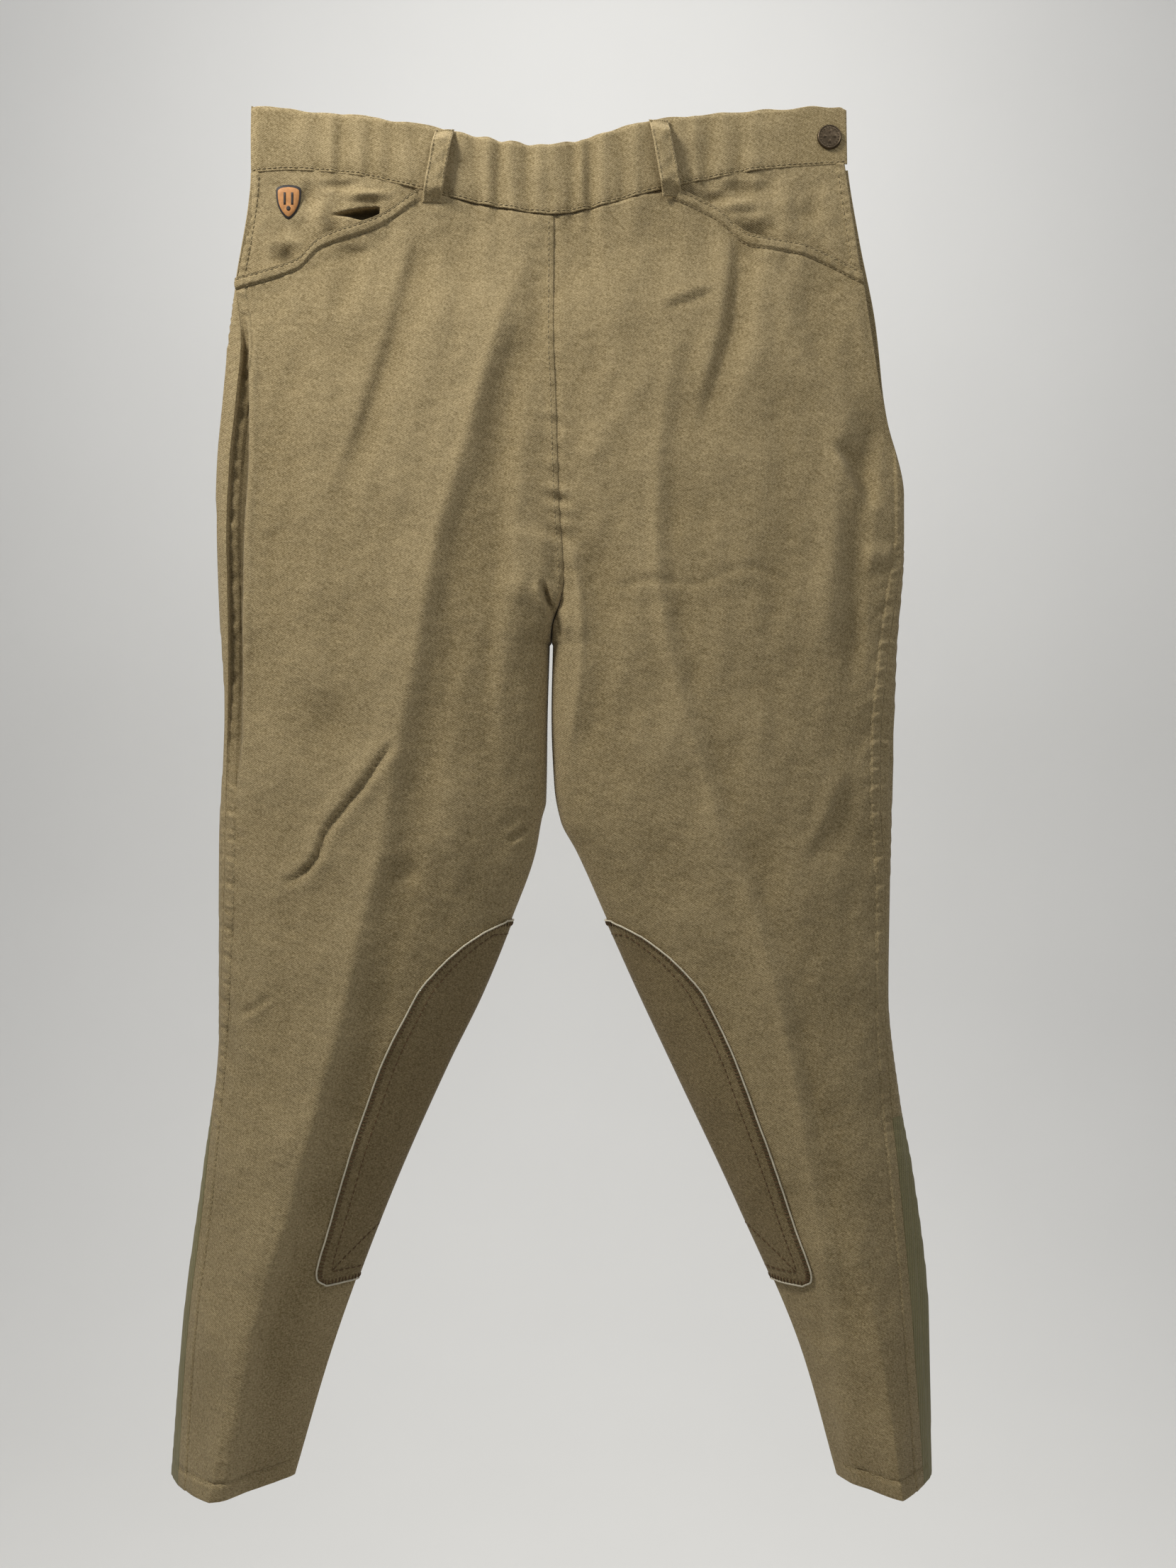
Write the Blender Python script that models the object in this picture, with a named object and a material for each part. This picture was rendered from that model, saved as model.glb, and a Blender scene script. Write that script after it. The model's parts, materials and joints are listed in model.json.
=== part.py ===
"""Riding breeches with a lapped side opening, hanging by the waistband.

Frame: metres, +Z up, +X to the wearer's left, -Y the front.  The origin is on the line that holds the
waistband up, midway between the two hanging points.  Every cloth piece is a thin closed solid.
"""
import math

import bmesh
import bpy
import numpy as np
from mathutils import Matrix, Vector

# ---------------------------------------------------------------- driving dimensions (metres)
GAP = 0.0003                # clearance between pieces that touch
EDGE = 0.0002               # half the gap between front and back panels where a seam joins them
TWILL = 0.0012              # body cloth
BAG_CLOTH = 0.0006          # pocket lining cloth
SEAM_GAP = 0.0005           # half the gap at the waistband seam

HEM_Z = -0.945
CROTCH_Z = -0.372
CALF_SEAM_Z = -0.6955
YOKE_END_Z = -0.150         # above this level the panel rows follow the top edge

RIGHT, LEFT = -1, 1         # the wearer's sides, as the sign of X

# Outlines of the hanging garment as (z, x).
OUTER = {
    RIGHT: [(0.004, -0.209), (-0.046, -0.209), (-0.123, -0.220), (-0.194, -0.228), (-0.270, -0.233),
            (-0.342, -0.231), (-0.420, -0.227), (-0.514, -0.231), (-0.640, -0.231), (-0.735, -0.242),
            (-0.832, -0.255), (HEM_Z, -0.264)],
    LEFT: [(0.004, 0.201), (-0.041, 0.205), (-0.090, 0.213), (-0.146, 0.224), (-0.216, 0.232),
           (-0.269, 0.243), (-0.305, 0.243), (-0.377, 0.238), (-0.509, 0.234), (-0.610, 0.232),
           (-0.686, 0.240), (-0.735, 0.249), (-0.833, 0.260), (HEM_Z, 0.262)],
}
CENTRE = [(0.004, 0.0), (-0.160, 0.0), (-0.200, 0.0015), (-0.278, 0.004), (-0.328, 0.007),
          (-0.345, 0.005), (-0.360, 0.0), (CROTCH_Z, -0.001)]
INNER = {
    RIGHT: [(CROTCH_Z, -0.0020), (-0.420, -0.0035), (-0.480, -0.0045), (-0.492, -0.0075),
            (-0.514, -0.0115), (-0.563, -0.029), (-0.612, -0.049), (-0.661, -0.073), (-0.759, -0.116),
            (-0.857, -0.152), (HEM_Z, -0.178)],
    LEFT: [(CROTCH_Z, 0.0), (-0.420, -0.0010), (-0.470, 0.0010), (-0.494, 0.0055), (-0.514, 0.016),
           (-0.563, 0.038), (-0.612, 0.060), (-0.661, 0.083), (-0.759, 0.129), (-0.857, 0.171),
           (HEM_Z, 0.196)],
}
# Half depths of the hanging cloth, and how the cross-section is rounded, as (z, value).
FRONT_DEPTH = [(0.004, 0.010), (-0.080, 0.012), (-0.150, 0.019), (-0.250, 0.027), (-0.350, 0.031),
               (-0.500, 0.032), (-0.700, 0.034), (HEM_Z, 0.040)]
BACK_DEPTH = [(0.004, 0.010), (-0.080, 0.013), (-0.200, 0.030), (-0.300, 0.034), (-0.400, 0.032),
              (-0.550, 0.026), (-0.700, 0.024), (HEM_Z, 0.022)]
FRONT_RIDGE = [(0.004, 0.85), (-0.080, 0.84), (-0.190, 0.77), (-0.300, 0.65), (-0.380, 0.58),
               (-0.514, 0.50), (-0.700, 0.46), (HEM_Z, 0.43)]
BACK_RIDGE = [(0.004, 0.60), (-0.300, 0.58), (-0.514, 0.52), (HEM_Z, 0.50)]
CENTRE_SHARE = [(0.004, 1.0), (-0.200, 0.92), (-0.300, 0.82), (-0.340, 0.62), (-0.360, 0.36),
                (CROTCH_Z, 0.0)]
OUTER_POWER = {
    RIGHT: [(0.004, 1.6), (-0.500, 1.6), (-0.700, 1.4), (HEM_Z, 1.15)],
    LEFT: [(0.004, 1.0), (-0.150, 1.05), (-0.300, 1.5), (-0.500, 1.6), (-0.700, 1.4), (HEM_Z, 1.15)],
}
INNER_POWER = [(0.004, 1.6), (-0.300, 1.6), (CROTCH_Z, 3.2), (-0.500, 2.2), (-0.600, 1.6),
               (HEM_Z, 1.25)]

# The waistband's top edge and lower seam as (x, z), and half the space between its front and back.
WAIST_TOP = [(-0.212, 0.001), (-0.150, -0.006), (-0.080, -0.018), (-0.007, -0.030), (0.073, -0.012),
             (0.140, -0.005), (0.208, -0.002)]
WAIST_SEAM = [(-0.212, -0.046), (-0.182, -0.044), (-0.147, -0.047), (-0.091, -0.060),
              (-0.044, -0.071), (0.0, -0.077), (0.029, -0.072), (0.073, -0.060), (0.117, -0.050),
              (0.147, -0.045), (0.208, -0.041)]
CLIP_HALF = 0.0028          # at the wearer's right, where a hanger clip presses the waistband flat
LAP_HALF = 0.0070           # at the wearer's left, where tab, snap and underlap lie on each other
CENTRE_HALF = 0.0105
LAP_START_X = 0.112

# Pocket scoops as (x, z), from the waistband seam out to the side seam.
SCOOP = {
    RIGHT: [(-0.091, -0.0605), (-0.124, -0.081), (-0.160, -0.092), (-0.176, -0.107), (-0.222, -0.120)],
    LEFT: [(0.082, -0.0585), (0.111, -0.072), (0.136, -0.091), (0.170, -0.097), (0.222, -0.121)],
}
POCKET_GAPE = 0.0070        # how far the facing hangs behind the pocket's edge at the middle
FACING_BELOW = 0.014
BAG_SPAN = {RIGHT: (-0.188, -0.108), LEFT: (0.104, 0.178)}
BAG_BOTTOM_Z = -0.235
BAG_BACK_Y = 0.0040
BAG_CLEAR = 0.0035          # from the facing's lower edge down to the pouch
BAG_SKIN_GAP = 0.0014       # from the panel's inner face to the pouch

# Side opening at the wearer's left.  Its lapped front edge is straight, so the zip is too.
LAP_TOP = Vector((0.2014, 0.0, -0.0446))
LAP_SLOPE = 0.157           # metres outboard for each metre down
LAP_END_Z = -0.188
LAP_CLOSED_Z = -0.240
FOLD_TOP_X = 0.152          # where the fold of the opened corner crosses z = 0
FOLD_SLOPE = 0.3697
FOLD_AXIS_Y = -0.0102
TAPE_INBOARD = 0.0080
ZIP_TOP_Z = -0.0470
ZIP_LENGTH = 0.131
SLIDER_START, SLIDER_END = 0.0020, 0.0120

SNAP = Vector((0.1900, 0.0, -0.0240))
CAP_RADIUS = 0.0083

# ---------------------------------------------------------------- materials: colour, roughness, metal
FINISHES = {
    "tan_twill": ((0.31, 0.235, 0.115), 0.92, 0.0),
    "knee_patch_cloth": ((0.27, 0.205, 0.100), 0.88, 0.0),
    "olive_stretch": ((0.130, 0.118, 0.045), 0.90, 0.0),
    "lining_cotton": ((0.42, 0.36, 0.25), 0.95, 0.0),
    "patch_edging": ((0.60, 0.53, 0.38), 0.85, 0.0),
    "badge_leather": ((0.55, 0.24, 0.07), 0.60, 0.0),
    "snap_metal": ((0.075, 0.055, 0.035), 0.42, 1.0),
    "zip_metal": ((0.36, 0.25, 0.10), 0.35, 1.0),
    "zip_tape_cloth": ((0.28, 0.21, 0.11), 0.93, 0.0),
}

for leftover in list(bpy.data.objects):
    bpy.data.objects.remove(leftover, do_unlink=True)


# ---------------------------------------------------------------- curves
def smooth_curve(points):
    """A smooth function through (t, value) points that doesn't swing past them."""
    knots = np.array(sorted(points), dtype=float)
    t, v = knots[:, 0], knots[:, 1]
    step = np.diff(t)
    slope = np.diff(v) / step
    tangent = np.concatenate(([slope[0]], np.zeros(len(t) - 2), [slope[-1]]))
    for k in range(1, len(t) - 1):
        if slope[k - 1] * slope[k] > 0:
            before, after = step[k - 1], step[k]
            weight_a, weight_b = 2 * after + before, after + 2 * before
            tangent[k] = (weight_a + weight_b) / (weight_a / slope[k - 1] + weight_b / slope[k])

    def value(at):
        at = min(max(at, t[0]), t[-1])
        k = min(int(np.searchsorted(t, at, side="right")) - 1, len(step) - 1)
        s = (at - t[k]) / step[k]
        blend = s * s * (3 - 2 * s)
        rise = s * (1 - s) ** 2 * tangent[k] * step[k]
        fall = s * s * (s - 1) * tangent[k + 1] * step[k]
        return float(v[k] * (1 - blend) + v[k + 1] * blend + rise + fall)
    return value


def smoothstep(value, low, high):
    s = min(max((value - low) / (high - low), 0.0), 1.0)
    return s * s * (3 - 2 * s)


def mix(a, b, share):
    return a + (b - a) * share


outer_x = {side: smooth_curve(OUTER[side]) for side in OUTER}
inner_x = {side: smooth_curve(INNER[side]) for side in INNER}
centre_x = smooth_curve(CENTRE)
front_depth = smooth_curve(FRONT_DEPTH)
back_depth = smooth_curve(BACK_DEPTH)
front_ridge = smooth_curve(FRONT_RIDGE)
back_ridge = smooth_curve(BACK_RIDGE)
centre_share = smooth_curve(CENTRE_SHARE)
outer_power = {side: smooth_curve(OUTER_POWER[side]) for side in OUTER_POWER}
inner_power = smooth_curve(INNER_POWER)
waist_top = smooth_curve(WAIST_TOP)
waist_seam = smooth_curve(WAIST_SEAM)
scoop_z = {side: smooth_curve(SCOOP[side]) for side in SCOOP}


def waist_half(x):
    """Half the space between the front and the back of the waistband."""
    clip = mix(EDGE, CLIP_HALF, smoothstep(x, -0.2095, -0.2035))
    middle = mix(clip, CENTRE_HALF, smoothstep(x, -0.180, -0.090))
    return mix(middle, LAP_HALF, smoothstep(x, 0.050, LAP_START_X))


def lap_edge_x(z):
    return LAP_TOP.x + LAP_SLOPE * (LAP_TOP.z - z)


def fold_x(z):
    return FOLD_TOP_X - FOLD_SLOPE * z


def edge_half(side, z):
    """Half the space between front and back at the outer edge: open along the zip, closed elsewhere."""
    if side == RIGHT:
        return EDGE
    return mix(EDGE, LAP_HALF, smoothstep(z, LAP_CLOSED_Z, LAP_END_Z))


def outer_edge(side, z, front):
    """The outer outline.  Beside the zip the lapped front edge stops short of the back panel."""
    x = outer_x[side](z)
    if side == RIGHT or not front:
        return x
    return mix(x, lap_edge_x(z), smoothstep(z, LAP_CLOSED_Z, LAP_END_Z))


def inner_edge(side, z):
    if z > CROTCH_Z:
        return centre_x(z) + side * GAP / 2
    return inner_x[side](z)


def rise(t, power):
    """Depth share at a distance t from an edge: straight for power 1, elliptical for power 2."""
    return (1 - (1 - t) ** power) ** (1 / power)


def leg_point(side, z, q, inset=0.0):
    """A point of a leg's cross-section.

    q runs 0 outer edge, 1 front ridge, 2 inner edge, 3 back ridge, 4 outer edge, and past 4 it goes on
    round the front.  inset moves the point that far into the leg, or out of it when negative.
    """
    if q > 4:
        q -= 4
    front = q <= 2
    depth_at, ridge_at = (front_depth, front_ridge) if front else (back_depth, back_ridge)
    turn = q if front else 4 - q
    ridge, depth = ridge_at(z), depth_at(z)
    share_in = centre_share(z) if z > CROTCH_Z else 0.0
    half = edge_half(side, z)
    if turn <= 1:
        across = ridge * turn
        depth = mix(half, depth, rise(turn, outer_power[side](z)))
    else:
        across = 1 - (1 - ridge) * (2 - turn)
        rounded = rise(2 - turn, inner_power(z))
        depth = mix(EDGE, depth, mix(share_in, 1.0, rounded))
    open_centre = min(1.0, share_in * depth_at(z) / (3 * TWILL))
    x_out = outer_edge(side, z, front) - side * inset * (1 - half / LAP_HALF)
    x_in = inner_edge(side, z) + side * inset * (1 - open_centre)
    x = mix(x_out, x_in, across)
    from_seam = smoothstep(waist_seam(x) - z, 0.0, 0.090)
    depth = max(EDGE, mix(waist_half(x), depth, from_seam) - inset)
    return Vector((x, -depth if front else depth, z))


def ridge_turn(side, z, x, front=True):
    """The q value of the outer half of the cross-section that lies at x."""
    edge, inner = outer_edge(side, z, front), inner_edge(side, z)
    ridge = (front_ridge if front else back_ridge)(z)
    turn = (edge - x) / (edge - inner) / ridge
    return turn if front else 4 - turn


def front_surface_y(side, x, z):
    """Depth of the front's outer face at x, z."""
    edge, inner, ridge = outer_edge(side, z, True), inner_edge(side, z), front_ridge(z)
    across = min(max((edge - x) / (edge - inner), 0.0), 1.0)
    q = across / ridge if across <= ridge else 2 - (1 - across) / (1 - ridge)
    return leg_point(side, z, q).y


# ---------------------------------------------------------------- mesh helpers
def material(finish):
    existing = bpy.data.materials.get(finish)
    if existing:
        return existing
    colour, roughness, metallic = FINISHES[finish]
    made = bpy.data.materials.new(finish)
    made.use_nodes = True
    shader = made.node_tree.nodes["Principled BSDF"]
    shader.inputs["Base Color"].default_value = (*colour, 1.0)
    shader.inputs["Roughness"].default_value = roughness
    shader.inputs["Metallic"].default_value = metallic
    return made


def add_object(name, verts, faces, finish, round_piece=False):
    mesh = bpy.data.meshes.new(name)
    mesh.from_pydata([tuple(v) for v in verts], [], faces)
    work = bmesh.new()
    work.from_mesh(mesh)
    bmesh.ops.recalc_face_normals(work, faces=work.faces)
    work.to_mesh(mesh)
    work.free()
    mesh.materials.append(material(finish))
    if round_piece:
        mesh.shade_smooth()
        mesh.set_sharp_from_angle(angle=math.radians(40))
    made = bpy.data.objects.new(name, mesh)
    bpy.context.collection.objects.link(made)
    return made


def shell(name, rows, columns, point, finish, used=None):
    """A thin closed solid from a grid.  point(row, column, layer) gives the layer 0 and 1 points."""
    verts, index, faces, edges = [], {}, [], {}

    def vertex(i, j, layer):
        key = (i, j, layer)
        if key not in index:
            index[key] = len(verts)
            verts.append(point(i, j, layer))
        return index[key]

    for i in range(rows):
        for j in range(columns):
            if used and not used(i, j):
                continue
            corners = [(i, j), (i + 1, j), (i + 1, j + 1), (i, j + 1)]
            for layer in (0, 1):
                a, b, c, d = (vertex(*corner, layer) for corner in corners)
                halves = [(a, b, c), (a, c, d)]
                faces.extend(halves if layer == 0 else [half[::-1] for half in halves])
            for start, end in zip(corners, corners[1:] + corners[:1]):
                if (end, start) in edges:
                    del edges[(end, start)]
                else:
                    edges[(start, end)] = True
    for start, end in edges:
        a, b = vertex(*start, 0), vertex(*end, 0)
        c, d = vertex(*end, 1), vertex(*start, 1)
        faces.extend([(b, a, d), (b, d, c)])
    return add_object(name, verts, faces, finish)


def prism(name, outline, low, high, place, finish, round_piece=False):
    """An outline of (a, b) points carried from low to high, put in space by place(a, b, height)."""
    count = len(outline)
    verts = [place(a, b, h) for h in (low, high) for a, b in outline]
    faces = [tuple(range(count))[::-1], tuple(range(count, 2 * count))]
    faces += [(k, (k + 1) % count, count + (k + 1) % count, count + k) for k in range(count)]
    return add_object(name, verts, faces, finish, round_piece)


def turned(name, profile, axis_point, finish, segments=24):
    """A solid of revolution about the Y direction.  profile is a closed loop of (radius, y)."""
    verts, faces, rings = [], [], []
    for radius, y in profile:
        if radius < 1e-6:
            rings.append([len(verts)] * segments)
            verts.append(Vector((axis_point.x, y, axis_point.z)))
            continue
        rings.append(list(range(len(verts), len(verts) + segments)))
        for k in range(segments):
            angle = 2 * math.pi * k / segments
            verts.append(Vector((axis_point.x + radius * math.cos(angle), y,
                                 axis_point.z + radius * math.sin(angle))))
    for ring, following in zip(rings, rings[1:] + rings[:1]):
        for k in range(segments):
            m = (k + 1) % segments
            corners = []
            for corner in (ring[k], ring[m], following[m], following[k]):
                if corner not in corners:
                    corners.append(corner)
            if len(corners) > 2:
                faces.append(tuple(corners))
    return add_object(name, verts, faces, finish, round_piece=True)


def carried_by(name, place, pieces):
    """An empty on a joint's axis, which carries the pieces that move about it."""
    empty = bpy.data.objects.new(name, None)
    empty.location = place
    bpy.context.collection.objects.link(empty)
    for piece in pieces:
        piece.parent = empty
        piece.matrix_parent_inverse = Matrix.Translation(-place)


# ---------------------------------------------------------------- leg panels
OUTER_STEPS = [0.0, 0.05, 0.15, 0.28, 0.42, 0.57, 0.72, 0.86, 1.0]
INNER_STEPS = [0.30, 0.60, 0.85, 1.0]
TOP_ROWS = 3
LEVELS = [YOKE_END_Z, -0.180, -0.212, -0.240, -0.280, -0.320, -0.345, -0.360, CROTCH_Z, -0.400,
          -0.440, -0.480, -0.515, -0.550, -0.590, -0.630, -0.665, -0.694, -0.698, -0.740, -0.790,
          -0.840, -0.890, HEM_Z]
CALF_ROW = TOP_ROWS + LEVELS.index(-0.694)


def calf_lap(z):
    """How far round the front the olive panel reaches, as a q value."""
    return mix(0.03, 0.27, smoothstep(CALF_SEAM_Z - z, 0.0, CALF_SEAM_Z - HEM_Z))


def panel_start(side, z):
    """The q value where the front panel's outer edge lies."""
    if z < CALF_SEAM_Z:
        return calf_lap(z) + 0.012
    if side == LEFT and z > LAP_END_Z:
        return max(0.0, ridge_turn(side, z, fold_x(z) - GAP / 2))
    return 0.0


def front_top(side, x):
    """Top edge of the front panel: the waistband seam, then the pocket scoop."""
    scoop_start = SCOOP[side][0][0]
    if abs(x) < abs(scoop_start):
        return waist_seam(x) - SEAM_GAP
    return min(waist_seam(x) - SEAM_GAP, scoop_z[side](x))


def panel_z(side, i, column_point, top):
    """Height of row i in a column: the top rows lead from the top edge to the first level."""
    if i >= TOP_ROWS:
        return LEVELS[i - TOP_ROWS]
    z = YOKE_END_Z
    for _ in range(6):
        z = top(side, column_point(z).x)
    return mix(z, YOKE_END_Z, i / TOP_ROWS)


def front_q(side, j, z):
    start = panel_start(side, z)
    outer_count = len(OUTER_STEPS) - 1
    if j <= outer_count:
        return mix(start, 1.0, OUTER_STEPS[j])
    return 1 + INNER_STEPS[j - outer_count - 1]


def front_panel(side, name):
    def point(i, j, layer):
        z = panel_z(side, i, lambda level: leg_point(side, level, front_q(side, j, level)), front_top)
        return leg_point(side, z, front_q(side, j, z), layer * TWILL)

    columns = len(OUTER_STEPS) + len(INNER_STEPS) - 1
    shell(name, TOP_ROWS + len(LEVELS) - 1, columns, point, "tan_twill")


def back_top(side, x):
    return waist_seam(x) - SEAM_GAP


def back_panel(side, name):
    outer_part = [4 - step for step in OUTER_STEPS[::-2]]
    columns = [2 + step for step in (1e-9, 0.15, 0.40, 0.70, 1.0)] + outer_part[1:]
    ridge_column = columns.index(3.0)

    def point(i, j, layer):
        q = columns[j]
        if i > CALF_ROW and j == ridge_column:
            q -= 0.008
        z = panel_z(side, i, lambda level: leg_point(side, level, q), back_top)
        return leg_point(side, z, q, layer * TWILL)

    shell(name, TOP_ROWS + len(LEVELS) - 1, len(columns) - 1, point, "tan_twill",
          used=lambda i, j: i < CALF_ROW or j < ridge_column)


def calf_panel(side, name):
    back_columns = [3.012, 3.25, 3.55, 3.80, 3.95, 4.0]
    levels = [-0.6975, -0.740, -0.790, -0.840, -0.890, HEM_Z]

    def point(i, j, layer):
        z = levels[i]
        if j < len(back_columns):
            return leg_point(side, z, back_columns[j], layer * TWILL)
        share = (j - len(back_columns)) / 2
        return leg_point(side, z, 4 + max(1e-9, share * calf_lap(z)), layer * TWILL)

    shell(name, len(levels) - 1, len(back_columns) + 2, point, "olive_stretch")


# ---------------------------------------------------------------- knee patches
PATCH_TOP_Z, PATCH_BOTTOM_Z = -0.564, -0.808
PATCH_WIDTH = [(PATCH_TOP_Z, 0.004), (-0.575, 0.020), (-0.590, 0.034), (-0.610, 0.043),
               (-0.640, 0.044), (-0.700, 0.039), (-0.770, 0.031), (-0.800, 0.027),
               (PATCH_BOTTOM_Z, 0.022)]
PATCH_LEVELS = [PATCH_TOP_Z, -0.570, -0.580, -0.595, -0.615, -0.645, -0.690, -0.740, -0.780,
                PATCH_BOTTOM_Z]
PATCH_LIFT = 0.0009
PATCH_BACK_SHARE = 0.8
patch_width = smooth_curve(PATCH_WIDTH)


def patch_q(side, z, share):
    """q across a knee patch: share -1 is its front edge, 0 the inner edge, +1 its back edge."""
    leg_width = abs(outer_edge(side, z, True) - inner_edge(side, z))
    if share <= 0:
        return 2 + share * patch_width(z) / (leg_width * (1 - front_ridge(z)))
    return 2 + share * PATCH_BACK_SHARE * patch_width(z) / (leg_width * (1 - back_ridge(z)))


def knee_patch(side, name):
    levels = PATCH_LEVELS
    shares = [-1.0, -0.75, -0.5, -0.25, -0.08, -1e-6, 1e-6, 0.08, 0.25, 0.5, 0.75, 1.0]

    def point(i, j, layer):
        z = levels[i]
        return leg_point(side, z, patch_q(side, z, shares[j]), -PATCH_LIFT - (1 - layer) * TWILL)

    shell(name, len(levels) - 1, len(shares) - 1, point, "knee_patch_cloth")


def patch_edging(side, name):
    """The pale cord that lies round a knee patch."""
    radius, clear = 0.0006, 0.0019
    lift = -PATCH_LIFT - 2 * radius
    path = []
    for z in PATCH_LEVELS:
        grown = 1 + clear / patch_width(z)
        path.append(leg_point(side, z, patch_q(side, z, -grown), lift))
    for share in (-0.9, -0.6, -0.3, -0.12, -0.04, 0.04, 0.12, 0.3, 0.6, 0.9):
        path.append(leg_point(side, PATCH_BOTTOM_Z - clear, patch_q(side, PATCH_BOTTOM_Z, share), lift))
    for z in PATCH_LEVELS[::-1]:
        grown = 1 + clear / patch_width(z)
        path.append(leg_point(side, z, patch_q(side, z, grown), lift))
    for share in (0.8, 0.2, -0.2, -0.8):
        path.append(leg_point(side, PATCH_TOP_Z + clear, patch_q(side, PATCH_TOP_Z, share), lift))
    verts, faces, sides, count = [], [], 4, len(path)
    for k, here in enumerate(path):
        along = (path[(k + 1) % count] - path[k - 1]).normalized()
        centre = Vector((mix(outer_edge(side, here.z, True), inner_edge(side, here.z), 0.5), 0, here.z))
        out = (here - centre)
        out = (out - along * out.dot(along)).normalized()
        across = along.cross(out)
        for m in range(sides):
            angle = 2 * math.pi * m / sides
            verts.append(here + out * radius * math.cos(angle) + across * radius * math.sin(angle))
        for m in range(sides):
            n, following = (m + 1) % sides, (k + 1) % count
            a, b = k * sides + m, k * sides + n
            c, d = following * sides + n, following * sides + m
            faces.extend([(a, b, c), (a, c, d)])
    add_object(name, verts, faces, "patch_edging")


# ---------------------------------------------------------------- pockets
def scoop_share(side, x):
    """0 at both ends of a pocket's opening and 1 at its middle."""
    start = SCOOP[side][0][0]
    end = outer_x[side](-0.118) if side == RIGHT else fold_x(-0.100)
    along = min(max((x - start) / (end - start), 0.0), 1.0)
    return math.sin(math.pi * along) ** 0.7


def facing_drop(side, x, z):
    """How far behind the front's outer face the pocket facing lies."""
    top, scoop = waist_seam(x) - SEAM_GAP, front_top(side, x)
    down = 1.0 if top - scoop < 0.002 else min(max((top - z) / (top - scoop), 0.0), 1.0)
    room = max(TWILL + GAP, -front_surface_y(side, x, z) - TWILL - EDGE)
    return down * min(TWILL + GAP + POCKET_GAPE * scoop_share(side, x), room)


def facing_point(side, z, q, layer):
    place = leg_point(side, z, q)
    drop = facing_drop(side, place.x, z)
    tucked = leg_point(side, z, q, min(drop, TWILL + GAP))
    moved = leg_point(side, z, q, drop + layer * TWILL)
    return Vector((tucked.x if layer == 0 else moved.x, moved.y, z))


def facing_grid(side, name, q_low, q_high, below, columns=7, rows=5):
    def point(i, j, layer):
        z = -0.09
        for _ in range(6):
            q = mix(q_low(z), q_high(z), j / columns)
            x = leg_point(side, z, q).x
            top, bottom = waist_seam(x) - SEAM_GAP, front_top(side, x) - below
            z = mix(top, bottom, i / rows)
        return facing_point(side, z, mix(q_low(z), q_high(z), j / columns), layer)

    return shell(name, rows, columns, point, "tan_twill")


def facing_start(side, z):
    if side == RIGHT:
        return 0.0
    return ridge_turn(side, z, fold_x(z) - GAP / 2)


def facing_end(side, z):
    return ridge_turn(side, z, SCOOP[side][0][0] - side * 0.004)


def pocket_bag(side, name):
    """A flat pouch, open at the top behind the pocket's edge."""
    x_low, x_high = BAG_SPAN[side]
    columns, rows, corner = 6, 5, 0.018
    verts, faces = [], []

    def wall(i, j, near, lift):
        x = mix(x_low, x_high, j / columns)
        top = front_top(side, x) - FACING_BELOW - BAG_CLEAR
        from_side = min(x - x_low, x_high - x)
        curve = corner - math.sqrt(max(corner ** 2 - max(corner - from_side, 0) ** 2, 0))
        z = mix(top, BAG_BOTTOM_Z + curve + lift, i / rows)
        margin = lift * (1 if j == 0 else -1 if j == columns else 0)
        near_y = front_surface_y(side, x, z) + TWILL + BAG_SKIN_GAP + lift
        return Vector((x + margin, near_y if near else BAG_BACK_Y - lift, z))

    rings = {}
    for kind, lift in (("outer", 0.0), ("inner", BAG_CLOTH)):
        rings[kind] = []
        for i in range(rows + 1):
            ring = []
            for near, order in ((True, range(columns + 1)), (False, range(columns, -1, -1))):
                for j in order:
                    ring.append(len(verts))
                    verts.append(wall(i, j, near, lift))
            rings[kind].append(ring)
    count = len(rings["outer"][0])
    for kind in rings:
        for upper, lower in zip(rings[kind], rings[kind][1:]):
            for k in range(count):
                m = (k + 1) % count
                faces.extend([(upper[k], upper[m], lower[m]), (upper[k], lower[m], lower[k])])
        last = rings[kind][-1]
        for j in range(columns):
            a, b, c, d = last[j], last[j + 1], last[count - 2 - j], last[count - 1 - j]
            faces.extend([(a, b, c), (a, c, d)])
    for k in range(count):
        m = (k + 1) % count
        a, b, c, d = rings["outer"][0][k], rings["outer"][0][m], rings["inner"][0][m], rings["inner"][0][k]
        faces.extend([(a, b, c), (a, c, d)])
    add_object(name, verts, faces, "lining_cotton")


# ---------------------------------------------------------------- waistband
def band(name, x_low, x_high, front, inset, thickness, finish, columns, flat_at=()):
    """A strip of the waistband between two x values, inset from the waistband's outer face."""
    stops = [mix(x_low, x_high, j / columns) for j in range(columns + 1)]
    stops = sorted(set(stops + [x for x in flat_at if x_low < x < x_high]))
    sign = -1 if front else 1
    trim = 0.0 if inset == 0 else 0.001

    def point(i, j, layer):
        x = stops[j]
        z = waist_top(x) - trim if i == 0 else waist_seam(x) + SEAM_GAP + trim
        depth = max(EDGE, waist_half(x) - inset - layer * thickness)
        if j == 0 and layer and x < -0.2:
            x += thickness
        return Vector((x, sign * depth, z))

    shell(name, 1, len(stops) - 1, point, finish)


RIGHT_CLIP = (-0.2030, -0.1815)
LEFT_CLIP = (0.1170, 0.1400)
OUTER_BAND, LINING_BAND = 0.0012, 0.0009


def waistbands():
    flats = RIGHT_CLIP + LEFT_CLIP
    fold = FOLD_TOP_X - 0.0005
    band("waistband_front", -0.209, fold, True, 0.0, OUTER_BAND, "tan_twill", 22, flats)
    band("waistband_back", -0.209, 0.2020, False, 0.0, OUTER_BAND, "tan_twill", 24, flats)
    lining_inset = OUTER_BAND + GAP
    band("waistband_front_lining", -0.2015, fold, True, lining_inset, LINING_BAND, "lining_cotton", 16)
    band("waistband_back_lining", -0.2015, 0.1950, False, lining_inset, LINING_BAND, "lining_cotton", 16)


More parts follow.
